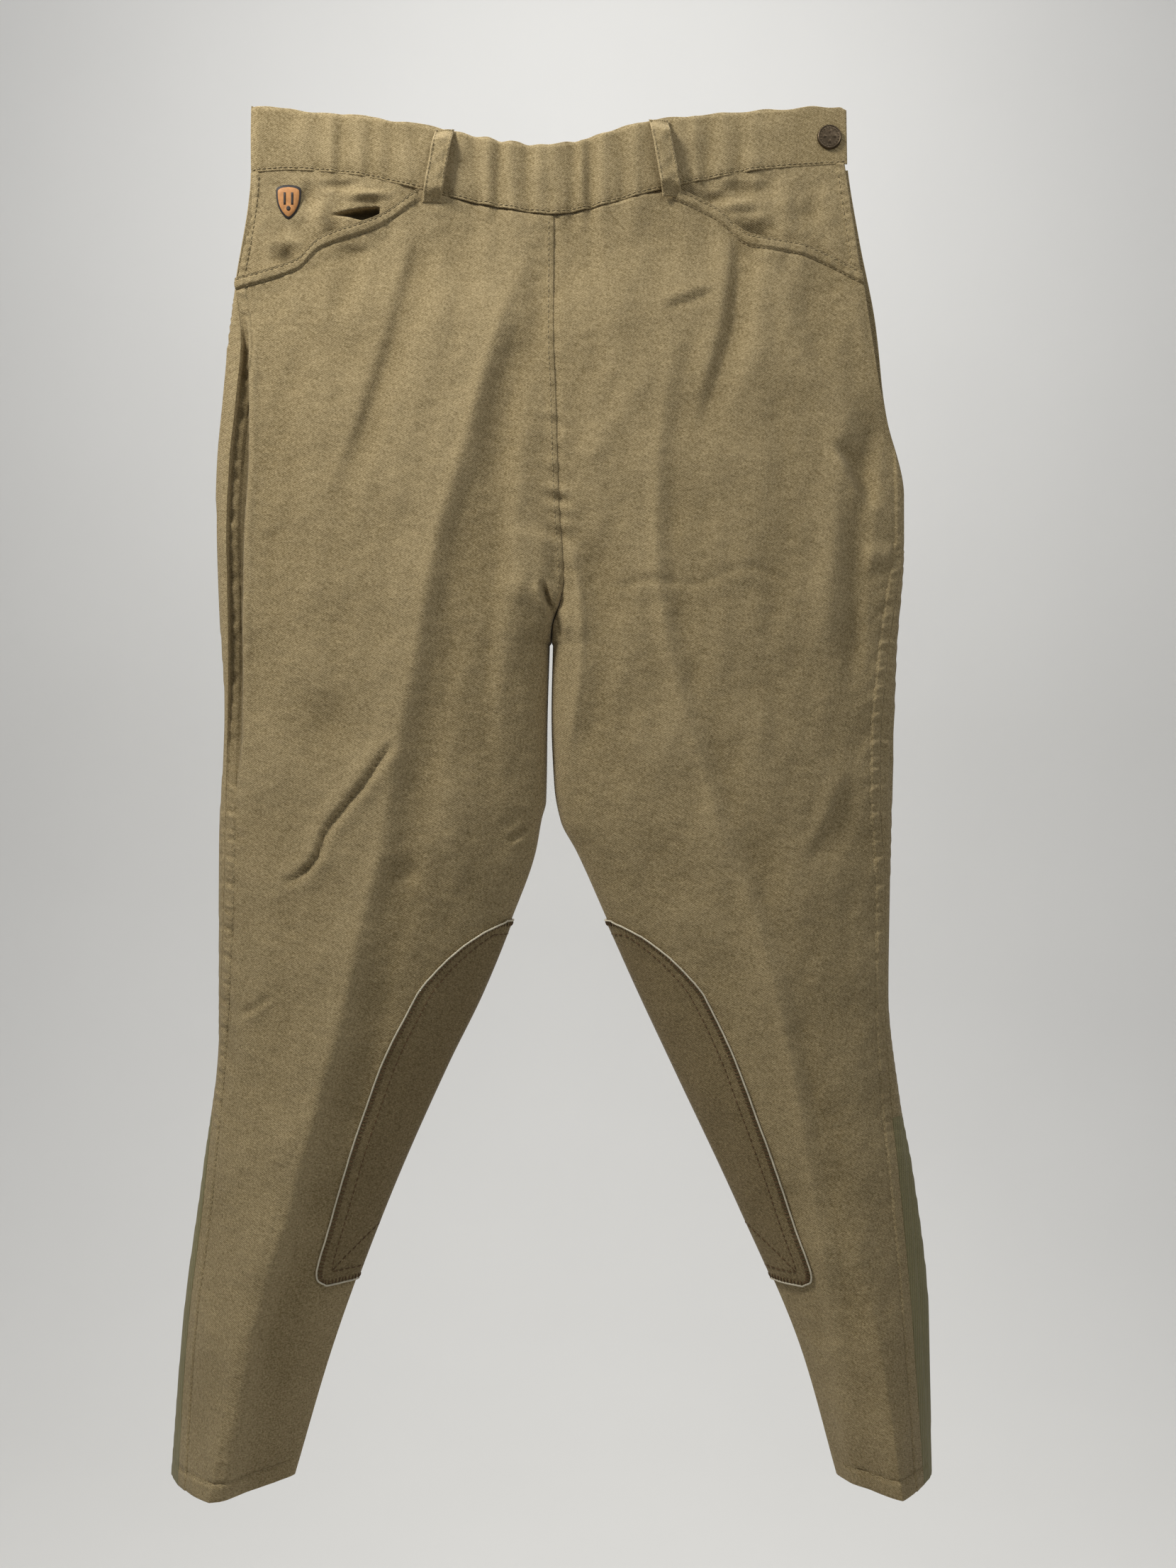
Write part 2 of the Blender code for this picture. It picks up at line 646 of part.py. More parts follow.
UNDERLAP_FACE_Y = -0.0024
UNDERLAP_THICK = 0.0020
TAB_THICK = 0.0024


def waistband_underlap():
    """The back waistband's end, turned round the side to lie behind the tab."""
    bend_x, radius = 0.1975, 0.0036
    middle_y = UNDERLAP_FACE_Y + radius
    outline = [(0.1640, UNDERLAP_FACE_Y)]
    for k in range(7):
        angle = -math.pi / 2 + math.pi / 2 * k / 6
        outline.append((bend_x + radius * math.cos(angle), middle_y + radius * math.sin(angle)))
    outline.append((bend_x + radius, LAP_HALF - OUTER_BAND - GAP))
    outline.append((bend_x + radius - UNDERLAP_THICK, LAP_HALF - OUTER_BAND - GAP))
    inner = radius - UNDERLAP_THICK
    for k in range(6, -1, -1):
        angle = -math.pi / 2 + math.pi / 2 * k / 6
        outline.append((bend_x + inner * math.cos(angle), middle_y + inner * math.sin(angle)))
    outline.append((0.1640, UNDERLAP_FACE_Y + UNDERLAP_THICK))
    prism("waistband_underlap", outline, -0.0395, -0.0045, lambda a, b, h: Vector((a, b, h)), "tan_twill")


def belt_loop(name, top_x, bottom_x, front):
    """A flat strip over the waistband, bowed out for a belt."""
    width, bow, rows = 0.0130, 0.0056, 8
    top_z = waist_top(top_x) - 0.0015
    bottom_z = waist_seam(bottom_x) - 0.0085
    sign = -1 if front else 1

    def point(i, j, layer):
        share = i / rows
        x = mix(top_x, bottom_x, share) + (j / 2 - 0.5) * width
        z = mix(top_z, bottom_z, share)
        surface = max(waist_half(x + side_step) for side_step in (-0.004, 0.0, 0.004))
        arch = min(1.0, 2.6 * min(share, 1 - share) / 0.5) if 0 < i < rows else 0.0
        depth = surface + 2 * GAP + bow * smoothstep(arch, 0.0, 1.0) + (1 - layer) * TWILL
        return Vector((x, sign * depth, z))

    shell(name, rows, 2, point, "tan_twill")


# ---------------------------------------------------------------- side opening
def corner_pieces():
    """The corner that folds open: the waistband's tab, and the cloth below it."""
    fold = FOLD_TOP_X + 0.0003
    stops = [fold, 0.168, 0.185, 0.1995, 0.2035]

    def tab_point(i, j, layer):
        along = (stops[j] - fold) / (stops[-1] - fold)
        x, z = stops[j], waist_top(stops[j])
        for _ in range(6):
            if i == 1:
                z = waist_seam(x) + SEAM_GAP
                x = mix(fold_x(z) + GAP, lap_edge_x(z), along)
            elif j == 0:
                x = fold_x(z) + GAP
        return Vector((x, -LAP_HALF + layer * TAB_THICK, z))

    tab = shell("waist_tab", 1, len(stops) - 1, tab_point, "tan_twill")

    def corner_end(z):
        return ridge_turn(LEFT, z, fold_x(z) + GAP / 2)

    facing = facing_grid(LEFT, "placket_facing_corner", lambda z: 0.0, corner_end, 0.004,
                         columns=3, rows=3)

    rows, columns = 6, 3

    def point(i, j, layer):
        z = -0.11
        for _ in range(8):
            q = mix(0.0, corner_end(z), j / columns)
            z = mix(front_top(LEFT, leg_point(LEFT, z, q).x), LAP_END_Z, i / rows)
        return leg_point(LEFT, z, mix(0.0, corner_end(z), j / columns), layer * TWILL)

    return [tab, facing, shell("placket_panel_corner", rows, columns, point, "tan_twill")]


def snap_fastener():
    """The snap.  Its cap and socket are on the tab, and its stud and post on the underlap."""
    cap_face = -LAP_HALF - GAP
    cap = [(0.0, cap_face), (CAP_RADIUS, cap_face), (CAP_RADIUS, cap_face - 0.0006),
           (CAP_RADIUS - 0.0006, cap_face - 0.0014), (CAP_RADIUS - 0.0022, cap_face - 0.0019),
           (0.0, cap_face - 0.0023)]
    on_tab = [turned("snap_cap", cap, SNAP, "snap_metal", 28)]
    socket_back = -LAP_HALF + TAB_THICK + GAP
    socket = [(0.0027, socket_back), (0.0055, socket_back), (0.0055, socket_back + 0.0008),
              (0.0042, socket_back + 0.0013), (0.0027, socket_back + 0.0013)]
    on_tab.append(turned("snap_socket", socket, SNAP, "snap_metal", 20))
    stud_back = UNDERLAP_FACE_Y - GAP
    stud = [(0.0, stud_back), (0.0050, stud_back), (0.0050, stud_back - 0.0003),
            (0.0020, stud_back - 0.0003), (0.0020, stud_back - 0.0012), (0.0015, stud_back - 0.0016),
            (0.0, stud_back - 0.0016)]
    turned("snap_stud", stud, SNAP, "snap_metal", 20)
    post_face = UNDERLAP_FACE_Y + UNDERLAP_THICK + GAP
    post = [(0.0, post_face), (0.0042, post_face), (0.0042, post_face + 0.0005), (0.0, post_face + 0.0009)]
    turned("snap_post", post, SNAP, "snap_metal", 20)
    return on_tab


ZIP_DOWN = Vector((LAP_SLOPE, 0.0, -1.0)).normalized()
ZIP_OUT = Vector((1.0, 0.0, LAP_SLOPE)).normalized()
ZIP_ORIGIN = Vector((lap_edge_x(ZIP_TOP_Z) - TAPE_INBOARD, 0.0, ZIP_TOP_Z))


def zip_place(along, across, out):
    return ZIP_ORIGIN + ZIP_DOWN * along + Vector((0.0, across, 0.0)) + ZIP_OUT * out


def zip_box(name, along, across, out, finish):
    outline = [(along[0], across[0]), (along[1], across[0]), (along[1], across[1]), (along[0], across[1])]
    prism(name, outline, out[0], out[1], zip_place, finish)


def zip_teeth(name, sign):
    """One row of teeth on its cord: a comb that reaches towards the middle."""
    root, foot, tip, pitch, tooth = 0.0019, 0.0013, 0.0006, 0.0050, 0.0026
    start, end = 0.0020, ZIP_LENGTH - 0.0045
    outline = [(start, sign * root), (end, sign * root)]
    at = end
    while at - pitch > start:
        outline += [(at, sign * tip), (at - tooth, sign * tip), (at - tooth, sign * foot)]
        at -= pitch
        outline.append((at, sign * foot))
    outline += [(at, sign * tip), (start, sign * tip)]
    prism(name, outline, -0.0009, 0.0009, zip_place, "zip_metal")


def zip_parts():
    zip_box("zip_tape_front", (0.0, ZIP_LENGTH), (-0.0040, -0.0022), (-0.0003, 0.0003), "zip_tape_cloth")
    zip_box("zip_tape_back", (0.0, ZIP_LENGTH), (0.0022, 0.0040), (-0.0003, 0.0003), "zip_tape_cloth")
    zip_box("zip_shield", (0.0, ZIP_LENGTH), (-0.0038, 0.0038), (-0.0036, -0.0028), "lining_cotton")
    zip_teeth("zip_teeth_front", -1)
    zip_teeth("zip_teeth_back", 1)
    zip_box("zip_top_stop_front", (0.0002, 0.0016), (-0.0019, -0.0006), (-0.0011, 0.0011), "zip_metal")
    zip_box("zip_top_stop_back", (0.0002, 0.0016), (0.0006, 0.0019), (-0.0011, 0.0011), "zip_metal")
    stop = (ZIP_LENGTH - 0.0040, ZIP_LENGTH - 0.0008)
    zip_box("zip_bottom_stop", stop, (-0.0019, 0.0019), (-0.0012, 0.0012), "zip_metal")


def zip_slider():
    """Two plates joined by a blade between the tooth rows, and a bridge that holds the pull."""
    half = 0.0036
    start, end = SLIDER_START, SLIDER_END
    plate = [(start, -half * 0.7), (start + 0.002, -half), (end - 0.002, -half), (end, -half * 0.75),
             (end, half * 0.75), (end - 0.002, half), (start + 0.002, half), (start, half * 0.7)]
    outer = prism("zip_slider_body", plate, 0.0013, 0.0022, zip_place, "zip_metal")
    pieces = [prism("inner_plate", plate, -0.0022, -0.0013, zip_place, "zip_metal")]
    blade = [(start + 0.001, -0.0004), (end - 0.006, -0.0004), (end - 0.006, 0.0004), (start + 0.001, 0.0004)]
    pieces.append(prism("blade", blade, -0.0018, 0.0018, zip_place, "zip_metal"))
    bridge_side = [(start + 0.001, 0.0018), (end - 0.003, 0.0018), (end - 0.003, 0.0040),
                   (end - 0.0038, 0.0047), (start + 0.0018, 0.0047), (start + 0.001, 0.0040)]
    window = [(start + 0.0018, 0.0022), (end - 0.0038, 0.0022), (end - 0.0038, 0.0039),
              (start + 0.0018, 0.0039)]

    def sideways(along, out, across):
        return zip_place(along, across, out)

    bridge = prism("bridge", bridge_side, -0.0006, 0.0006, sideways, "zip_metal")
    opening = prism("bridge_window", window, -0.0010, 0.0010, sideways, "zip_metal")
    for target, tool, operation in [(bridge, opening, "DIFFERENCE")] + [(outer, p, "UNION") for p in
                                                                        pieces + [bridge]]:
        modifier = target.modifiers.new(tool.name, "BOOLEAN")
        modifier.object = tool
        modifier.operation = operation
        tool.hide_render = True
        tool.display_type = "WIRE"
    return outer


PULL_PIVOT = (SLIDER_START + 0.0034, 0.00305)


def zip_pull():
    """A flat pull whose top bar turns under the slider's bridge.  Its origin is on its pivot."""
    along, out = PULL_PIVOT
    half_thick, half_wide, bar = 0.0005, 0.0025, 0.0005
    outline = [(-bar, -half_wide), (0.0130, -half_wide), (0.0190, -0.0021), (0.0205, -0.0012),
               (0.0205, 0.0012), (0.0190, 0.0021), (0.0130, half_wide), (-bar, half_wide)]
    eye = [(bar, -0.0013), (0.0062, -0.0013), (0.0062, 0.0013), (bar, 0.0013)]

    def place(a, b, height):
        return zip_place(along + a, b, out + height)

    body = prism("zip_pull", outline, -half_thick, half_thick, place, "zip_metal")
    cutter = prism("pull_eye", eye, -0.002, 0.002, place, "zip_metal")
    cutter.hide_render = True
    cutter.display_type = "WIRE"
    modifier = body.modifiers.new("eye", "BOOLEAN")
    modifier.object = cutter
    modifier.operation = "DIFFERENCE"
    pivot = zip_place(along, 0.0, out)
    for piece in (body, cutter):
        piece.data.transform(Matrix.Translation(-pivot))
        piece.location = pivot


# ---------------------------------------------------------------- hip badge
def hip_badge():
    """A small leather shield sewn below the waistband at the wearer's right."""
    centre = Vector((-0.1820, 0.0, -0.0670))
    half_wide, half_high, thick = 0.0088, 0.0122, 0.0010
    half_outline = [(0.0, 1.0), (0.55, 0.93), (1.0, 0.78), (0.97, 0.25), (0.80, -0.25), (0.45, -0.70)]
    outline = half_outline + [(0.0, -1.0)] + [(-a, b) for a, b in half_outline[:0:-1]]
    verts, faces = [], []
    for layer in (0, 1):
        for a, b in [(0.0, 0.0)] + outline:
            x, z = centre.x + a * half_wide, centre.z + b * half_high
            across = ridge_turn(RIGHT, z, x)
            surface = leg_point(RIGHT, z, across).y + facing_drop(RIGHT, x, z)
            verts.append(Vector((x, surface - 0.0005 - layer * thick, z)))
    count = len(outline)
    top = count + 1
    for k in range(count):
        a, b = 1 + k, 1 + (k + 1) % count
        faces.extend([(0, b, a), (top, top + a, top + b), (a, b, top + b), (a, top + b, top + a)])
    add_object("hip_badge", verts, faces, "badge_leather")


# ---------------------------------------------------------------- build
for side, word in ((RIGHT, "right"), (LEFT, "left")):
    front_panel(side, word + "_front_panel")
    back_panel(side, word + "_back_panel")
    calf_panel(side, word + "_calf_panel")
    knee_patch(side, word + "_knee_patch")
    patch_edging(side, word + "_patch_edging")
    facing_grid(side, word + "_pocket_facing", lambda z, s=side: facing_start(s, z),
                lambda z, s=side: facing_end(s, z), FACING_BELOW)
    pocket_bag(side, word + "_pocket_bag")

waistbands()
waistband_underlap()
for loop_name, top_x, bottom_x, in_front in (
        ("belt_loop_right_front", -0.0735, -0.0825, True), ("belt_loop_left_front", 0.0725, 0.0820, True),
        ("belt_loop_right_back", -0.1300, -0.1340, False), ("belt_loop_centre_back", -0.0020, -0.0020, False),
        ("belt_loop_left_back", 0.1240, 0.1280, False)):
    belt_loop(loop_name, top_x, bottom_x, in_front)
carried_by("opening_fold_axis", Vector((FOLD_TOP_X, FOLD_AXIS_Y, 0.0)), corner_pieces() + snap_fastener())
zip_parts()
carried_by("zip_slider_axis", ZIP_ORIGIN, [zip_slider()])
zip_pull()
hip_badge()
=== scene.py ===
"""Riding breeches hanging by the waistband: the visible cloth, metal and leather, with stage and camera.

Metres, +Z up, +X to the wearer's left, -Y the front.
"""
import json
import math

import bpy
import numpy as np
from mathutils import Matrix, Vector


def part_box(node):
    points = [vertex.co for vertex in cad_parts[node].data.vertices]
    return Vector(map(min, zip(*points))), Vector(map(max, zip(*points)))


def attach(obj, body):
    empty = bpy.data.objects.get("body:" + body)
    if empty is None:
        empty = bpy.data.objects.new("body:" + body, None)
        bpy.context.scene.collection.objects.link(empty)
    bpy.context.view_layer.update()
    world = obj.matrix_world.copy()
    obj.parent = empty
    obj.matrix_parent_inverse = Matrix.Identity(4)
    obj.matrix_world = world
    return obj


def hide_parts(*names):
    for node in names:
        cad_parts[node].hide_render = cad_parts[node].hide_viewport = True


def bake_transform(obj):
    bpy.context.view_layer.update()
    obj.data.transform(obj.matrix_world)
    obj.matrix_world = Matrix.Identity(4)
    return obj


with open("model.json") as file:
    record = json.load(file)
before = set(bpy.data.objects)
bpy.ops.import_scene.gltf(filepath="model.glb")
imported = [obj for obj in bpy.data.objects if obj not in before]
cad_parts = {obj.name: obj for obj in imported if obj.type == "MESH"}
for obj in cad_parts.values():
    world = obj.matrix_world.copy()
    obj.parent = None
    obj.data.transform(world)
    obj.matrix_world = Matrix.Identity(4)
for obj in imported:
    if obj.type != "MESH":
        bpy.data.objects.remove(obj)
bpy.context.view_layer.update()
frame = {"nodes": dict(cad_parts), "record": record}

RIGHT, LEFT = -1, 1
MM = 0.001
FORWARD, BACKWARD = (0.0, -1.0, 0.0), (0.0, 1.0, 0.0)

# ---------------------------------------------------------------- the garment's sizes, as in the CAD
# Plain numbers are metres.  The tables of points are millimetres, and shares or powers where they say so:
# (z, x) for OUTER, CENTRE, INNER, SIDE_SEAM and SIDE_ROLL, (x, z) for WAIST_* and SCOOP.
GAP, EDGE, TWILL = 0.0003, 0.0002, 0.0012
HEM_Z, CROTCH_Z, CALF_SEAM_Z, YOKE_END_Z = -0.945, -0.372, -0.6955, -0.150
OUTER = {
    RIGHT: [(4, -209), (-46, -209), (-123, -220), (-194, -228), (-270, -233), (-342, -231), (-420, -227),
            (-514, -231), (-640, -231), (-735, -242), (-832, -255), (-945, -264)],
    LEFT: [(4, 201), (-41, 205), (-90, 213), (-146, 224), (-216, 232), (-269, 243), (-305, 243), (-377, 238),
           (-509, 234), (-610, 232), (-686, 240), (-735, 249), (-833, 260), (-945, 262)],
}
CENTRE = [(4, 0), (-160, 0), (-200, 1.5), (-278, 4), (-328, 7), (-345, 5), (-360, 0), (-372, -1)]
INNER = {
    RIGHT: [(-372, -2), (-420, -3.5), (-480, -4.5), (-492, -7.5), (-514, -11.5), (-563, -29), (-612, -49),
            (-661, -73), (-759, -116), (-857, -152), (-945, -178)],
    LEFT: [(-372, 0), (-420, -1), (-470, 1), (-494, 5.5), (-514, 16), (-563, 38), (-612, 60), (-661, 83),
           (-759, 129), (-857, 171), (-945, 196)],
}
FRONT_DEPTH = [(4, 10), (-80, 12), (-150, 19), (-250, 27), (-350, 31), (-500, 32), (-700, 34), (-945, 40)]
BACK_DEPTH = [(4, 10), (-80, 13), (-200, 30), (-300, 34), (-400, 32), (-550, 26), (-700, 24), (-945, 22)]
FRONT_RIDGE = [(4, 0.85), (-80, 0.84), (-190, 0.77), (-300, 0.65), (-380, 0.58), (-514, 0.50), (-700, 0.46),
               (-945, 0.43)]
BACK_RIDGE = [(4, 0.60), (-300, 0.58), (-514, 0.52), (-945, 0.50)]
CENTRE_SHARE = [(4, 1.0), (-200, 0.92), (-300, 0.82), (-340, 0.62), (-360, 0.36), (-372, 0.0)]
OUTER_POWER = {
    RIGHT: [(4, 1.6), (-500, 1.6), (-700, 1.4), (-945, 1.15)],
    LEFT: [(4, 1.0), (-150, 1.05), (-300, 1.5), (-500, 1.6), (-700, 1.4), (-945, 1.15)],
}
INNER_POWER = [(4, 1.6), (-300, 1.6), (-372, 3.2), (-500, 2.2), (-600, 1.6), (-945, 1.25)]
WAIST_TOP = [(-212, 1), (-150, -6), (-80, -18), (-7, -30), (73, -12), (140, -5), (208, -2)]
WAIST_SEAM = [(-212, -46), (-182, -44), (-147, -47), (-91, -60), (-44, -71), (0, -77), (29, -72), (73, -60),
              (117, -50), (147, -45), (208, -41)]
CLIP_HALF, LAP_HALF, CENTRE_HALF, LAP_START_X = 0.0028, 0.0070, 0.0105, 0.112
BAND_START_X, BAND_END_X = -0.2088, 0.2018
SCOOP = {
    RIGHT: [(-91, -60.5), (-124, -81), (-160, -92), (-176, -107), (-222, -120)],
    LEFT: [(82, -58.5), (111, -72), (136, -91), (170, -97), (222, -121)],
}
# How far the rows of stitches lie below a pocket's edge, inside the side seam and above the hem.
SCOOP_ROWS, SIDE_ROW, HEM_ROW = (0.0018, 0.0082), 0.0074, 0.0115
LAP_TOP_X, LAP_TOP_Z, LAP_SLOPE = 0.2014, -0.0446, 0.157
LAP_END_Z, LAP_CLOSED_Z = -0.188, -0.240
CAP_RADIUS = 0.0083

# Where the side seam lies on the front.  Above the first point it is on the outer edge.
SIDE_SEAM = {
    RIGHT: [(-120, -219.5), (-167, -213.5), (-199, -216), (-247, -221), (-300, -223), (-368, -222),
            (-470, -224), (-562, -226.2), (-694, -234.5), (-764, -241), (-834, -249), (-896, -253.5),
            (-945, -254.5)],
    LEFT: [(-300, 243), (-351, 234.5), (-387, 229.5), (-430, 225.5), (-476, 224.5), (-538, 228.5),
           (-612, 228.5), (-693, 232.5), (-752, 238), (-806, 242.5), (-876, 247.5), (-945, 253)],
}
# The rolled edge of the front on the wearer's right, which hangs over the side seam.
SIDE_ROLL = [(-120, -217), (-164, -208.5), (-235, -208), (-305, -211), (-368, -212), (-432, -212),
             (-466, -215), (-500, -220.5)]


# ---------------------------------------------------------------- curves
def smooth_curve(points):
    """A smooth function through (t, value) points that doesn't swing past them."""
    knots = np.array(sorted(points), dtype=float)
    t, v = knots[:, 0], knots[:, 1]
    step = np.diff(t)
    slope = np.diff(v) / step
    tangent = np.concatenate(([slope[0]], np.zeros(len(t) - 2), [slope[-1]]))
    for k in range(1, len(t) - 1):
        if slope[k - 1] * slope[k] > 0:
            before, after = step[k - 1], step[k]
            weight_a, weight_b = 2 * after + before, after + 2 * before
            tangent[k] = (weight_a + weight_b) / (weight_a / slope[k - 1] + weight_b / slope[k])

    def value(at):
        at = np.clip(at, t[0], t[-1])
        k = np.clip(np.searchsorted(t, at, side="right") - 1, 0, len(step) - 1)
        s = (at - t[k]) / step[k]
        blend = s * s * (3 - 2 * s)
        rise_in = s * (1 - s) ** 2 * tangent[k] * step[k]
        fall_out = s * s * (s - 1) * tangent[k + 1] * step[k]
        return v[k] * (1 - blend) + v[k + 1] * blend + rise_in + fall_out
    return value


def smoothstep(value, low, high):
    s = np.clip((value - low) / (high - low), 0.0, 1.0)
    return s * s * (3 - 2 * s)


def mix(a, b, share):
    return a + (b - a) * share


def bump(value, middle, half_width):
    """1 at the middle, falling smoothly to 0 at half_width from it."""
    return 1 - smoothstep(np.abs(value - middle), 0.0, half_width)


def bell(value, width):
    """A Gaussian hump of height 1 at value 0."""
    return np.exp(-(value / width) ** 2)


def unit(vectors):
    return vectors / np.maximum(np.linalg.norm(vectors, axis=-1, keepdims=True), 1e-12)


def xyz(x, y, z):
    """An array of points from coordinates that may have different shapes."""
    return np.stack(np.broadcast_arrays(x, y, z), axis=-1)


def path_lengths(points):
    """The distance along a path at each of its points."""
    return np.concatenate(([0], np.cumsum(np.linalg.norm(np.diff(points, axis=0), axis=1))))


def joined(parts):
    """Rows of (a, b, c) arrays put end to end."""
    return [np.concatenate(part) for part in zip(*parts)]


def curve(points, size=MM):
    """A smooth function through points (at, value), with at in millimetres and value in units of size."""
    return smooth_curve([(at * MM, value * size) for at, value in points])


def curve_pair(tables, size=MM):
    return {side: curve(points, size) for side, points in tables.items()}


outer_x, inner_x, seam_x, scoop_z = (curve_pair(table) for table in (OUTER, INNER, SIDE_SEAM, SCOOP))
roll_x, centre_x = curve(SIDE_ROLL), curve(CENTRE)
front_depth, back_depth = curve(FRONT_DEPTH), curve(BACK_DEPTH)
front_ridge, back_ridge, centre_share, inner_power = (
    curve(table, 1) for table in (FRONT_RIDGE, BACK_RIDGE, CENTRE_SHARE, INNER_POWER))
outer_power = curve_pair(OUTER_POWER, 1)
waist_top, waist_seam = curve(WAIST_TOP), curve(WAIST_SEAM)
SCOOP_START, SEAM_START = ({side: table[side][0][0] * MM for side in table} for table in (SCOOP, SIDE_SEAM))


def waist_half(x):
    clip = mix(EDGE, CLIP_HALF, smoothstep(x, -0.2095, -0.2035))
    middle = mix(clip, CENTRE_HALF, smoothstep(x, -0.180, -0.090))
    return mix(middle, LAP_HALF, smoothstep(x, 0.050, LAP_START_X))


def lap_edge_x(z):
    return LAP_TOP_X + LAP_SLOPE * (LAP_TOP_Z - z)


def edge_half(side, z):
    if side == RIGHT:
        return EDGE + 0 * z
    return mix(EDGE, LAP_HALF, smoothstep(z, LAP_CLOSED_Z, LAP_END_Z))


def outer_edge(side, z, front):
    x = outer_x[side](z)
    if side == RIGHT:
        return x
    lapped = mix(x, lap_edge_x(z), smoothstep(z, LAP_CLOSED_Z, LAP_END_Z))
    return np.where(front, lapped, x)


def inner_edge(side, z):
    return np.where(z > CROTCH_Z, centre_x(z), inner_x[side](z))


def rise(t, power):
    return (1 - (1 - np.clip(t, 0, 1)) ** power) ** (1 / power)


def leg_surface(side, z, q):
    """x and y of the smooth leg.  q runs 0 outer edge, 1 front ridge, 2 inner edge, 3 back ridge, 4 outer."""
    front = q <= 2
    turn = np.where(front, q, 4 - q)
    ridge = np.where(front, front_ridge(z), back_ridge(z))
    depth = np.where(front, front_depth(z), back_depth(z))
    share_in = np.where(z > CROTCH_Z, centre_share(z), 0.0)
    outer_part = turn <= 1
    across = np.where(outer_part, ridge * turn, 1 - (1 - ridge) * (2 - turn))
    outer_depth = mix(edge_half(side, z), depth, rise(turn, outer_power[side](z)))
    rounded = rise(2 - turn, inner_power(z))
    inner_depth = mix(EDGE, depth, mix(share_in, 1.0, rounded))
    x = mix(outer_edge(side, z, front), inner_edge(side, z), across)
    from_seam = smoothstep(waist_seam(x) - z, 0.0, 0.090)
    depth = np.maximum(EDGE, mix(waist_half(x), np.where(outer_part, outer_depth, inner_depth), from_seam))
    return x, np.where(front, -depth, depth)


def across_to_q(z, across):
    """The q value of a point of the front at a share of the way from the outer edge to the inner edge."""
    ridge = front_ridge(z)
    return np.where(across <= ridge, across / ridge, 2 - (1 - across) / (1 - ridge))


def front_q(side, x, z):
    """The q value of the point of the front that lies at x, z."""
    edge = outer_edge(side, z, True)
    return across_to_q(z, np.clip((edge - x) / (edge - inner_edge(side, z)), 0.0, 1.0))


# ---------------------------------------------------------------- folds in the cloth
def smooth_path(path, steps=8):
    """More points along a path of points, on a Catmull-Rom curve through them."""
    p = np.array(path, float)
    p = np.vstack([2 * p[0] - p[1], p, 2 * p[-1] - p[-2]])
    out = []
    for k in range(1, len(p) - 2):
        for s in np.arange(steps) / steps:
            a, b, c, d = p[k - 1], p[k], p[k + 1], p[k + 2]
            out.append(0.5 * (2 * b + (c - a) * s + (2 * a - 5 * b + 4 * c - d) * s ** 2
                              + (3 * b - a - 3 * c + d) * s ** 3))
    return np.array(out + [p[-2]])


def beside_path(x, z, path):
    """Distance to the right of a path of (x, z) points, and how far along it from 0 to 1."""
    points = smooth_path(path)
    best = np.full(np.shape(x), np.inf)
    signed, along = np.zeros(np.shape(x)), np.zeros(np.shape(x))
    lengths = path_lengths(points)
    for k in range(len(points) - 1):
        a, d = points[k], points[k + 1] - points[k]
        t = np.clip(((x - a[0]) * d[0] + (z - a[1]) * d[1]) / (d @ d), 0, 1)
        dx, dz = x - a[0] - t * d[0], z - a[1] - t * d[1]
        away = np.hypot(dx, dz)
        closer = away < best
        best = np.where(closer, away, best)
        signed = np.where(closer, np.sign(d[0] * dz - d[1] * dx) * away, signed)
        along = np.where(closer, (lengths[k] + t * (lengths[k + 1] - lengths[k])) / lengths[-1], along)
    return signed, along


def fold(x, z, path, profile, fade=(0.25, 0.25)):
    """Height of one fold along a path in millimetres.

    profile gives the height in millimetres at so many millimetres to the right of the path.
    """
    away, along = beside_path(x / MM, z / MM, path)
    height = smooth_curve(profile)(away) * MM
    outside = (away < profile[0][0]) | (away > profile[-1][0])
    fade_in = smoothstep(along, 0.0, fade[0]) if fade[0] else 1.0
    fade_out = smoothstep(1 - along, 0.0, fade[1]) if fade[1] else 1.0
    return np.where(outside, 0.0, height) * fade_in * fade_out


def undulation(x, z, scale, seed, waves=16):
    """A smooth field of about unit height whose swells are about scale metres apart."""
    draw = np.random.default_rng(seed)
    total = 0.0
    for _ in range(waves):
        angle, phase = draw.uniform(0, 2 * math.pi, 2)
        rate = 2 * math.pi / scale * draw.uniform(0.6, 1.5)
        total = total + np.sin(rate * (x * math.cos(angle) + z * math.sin(angle)) + phase)
    return total / math.sqrt(waves / 2)


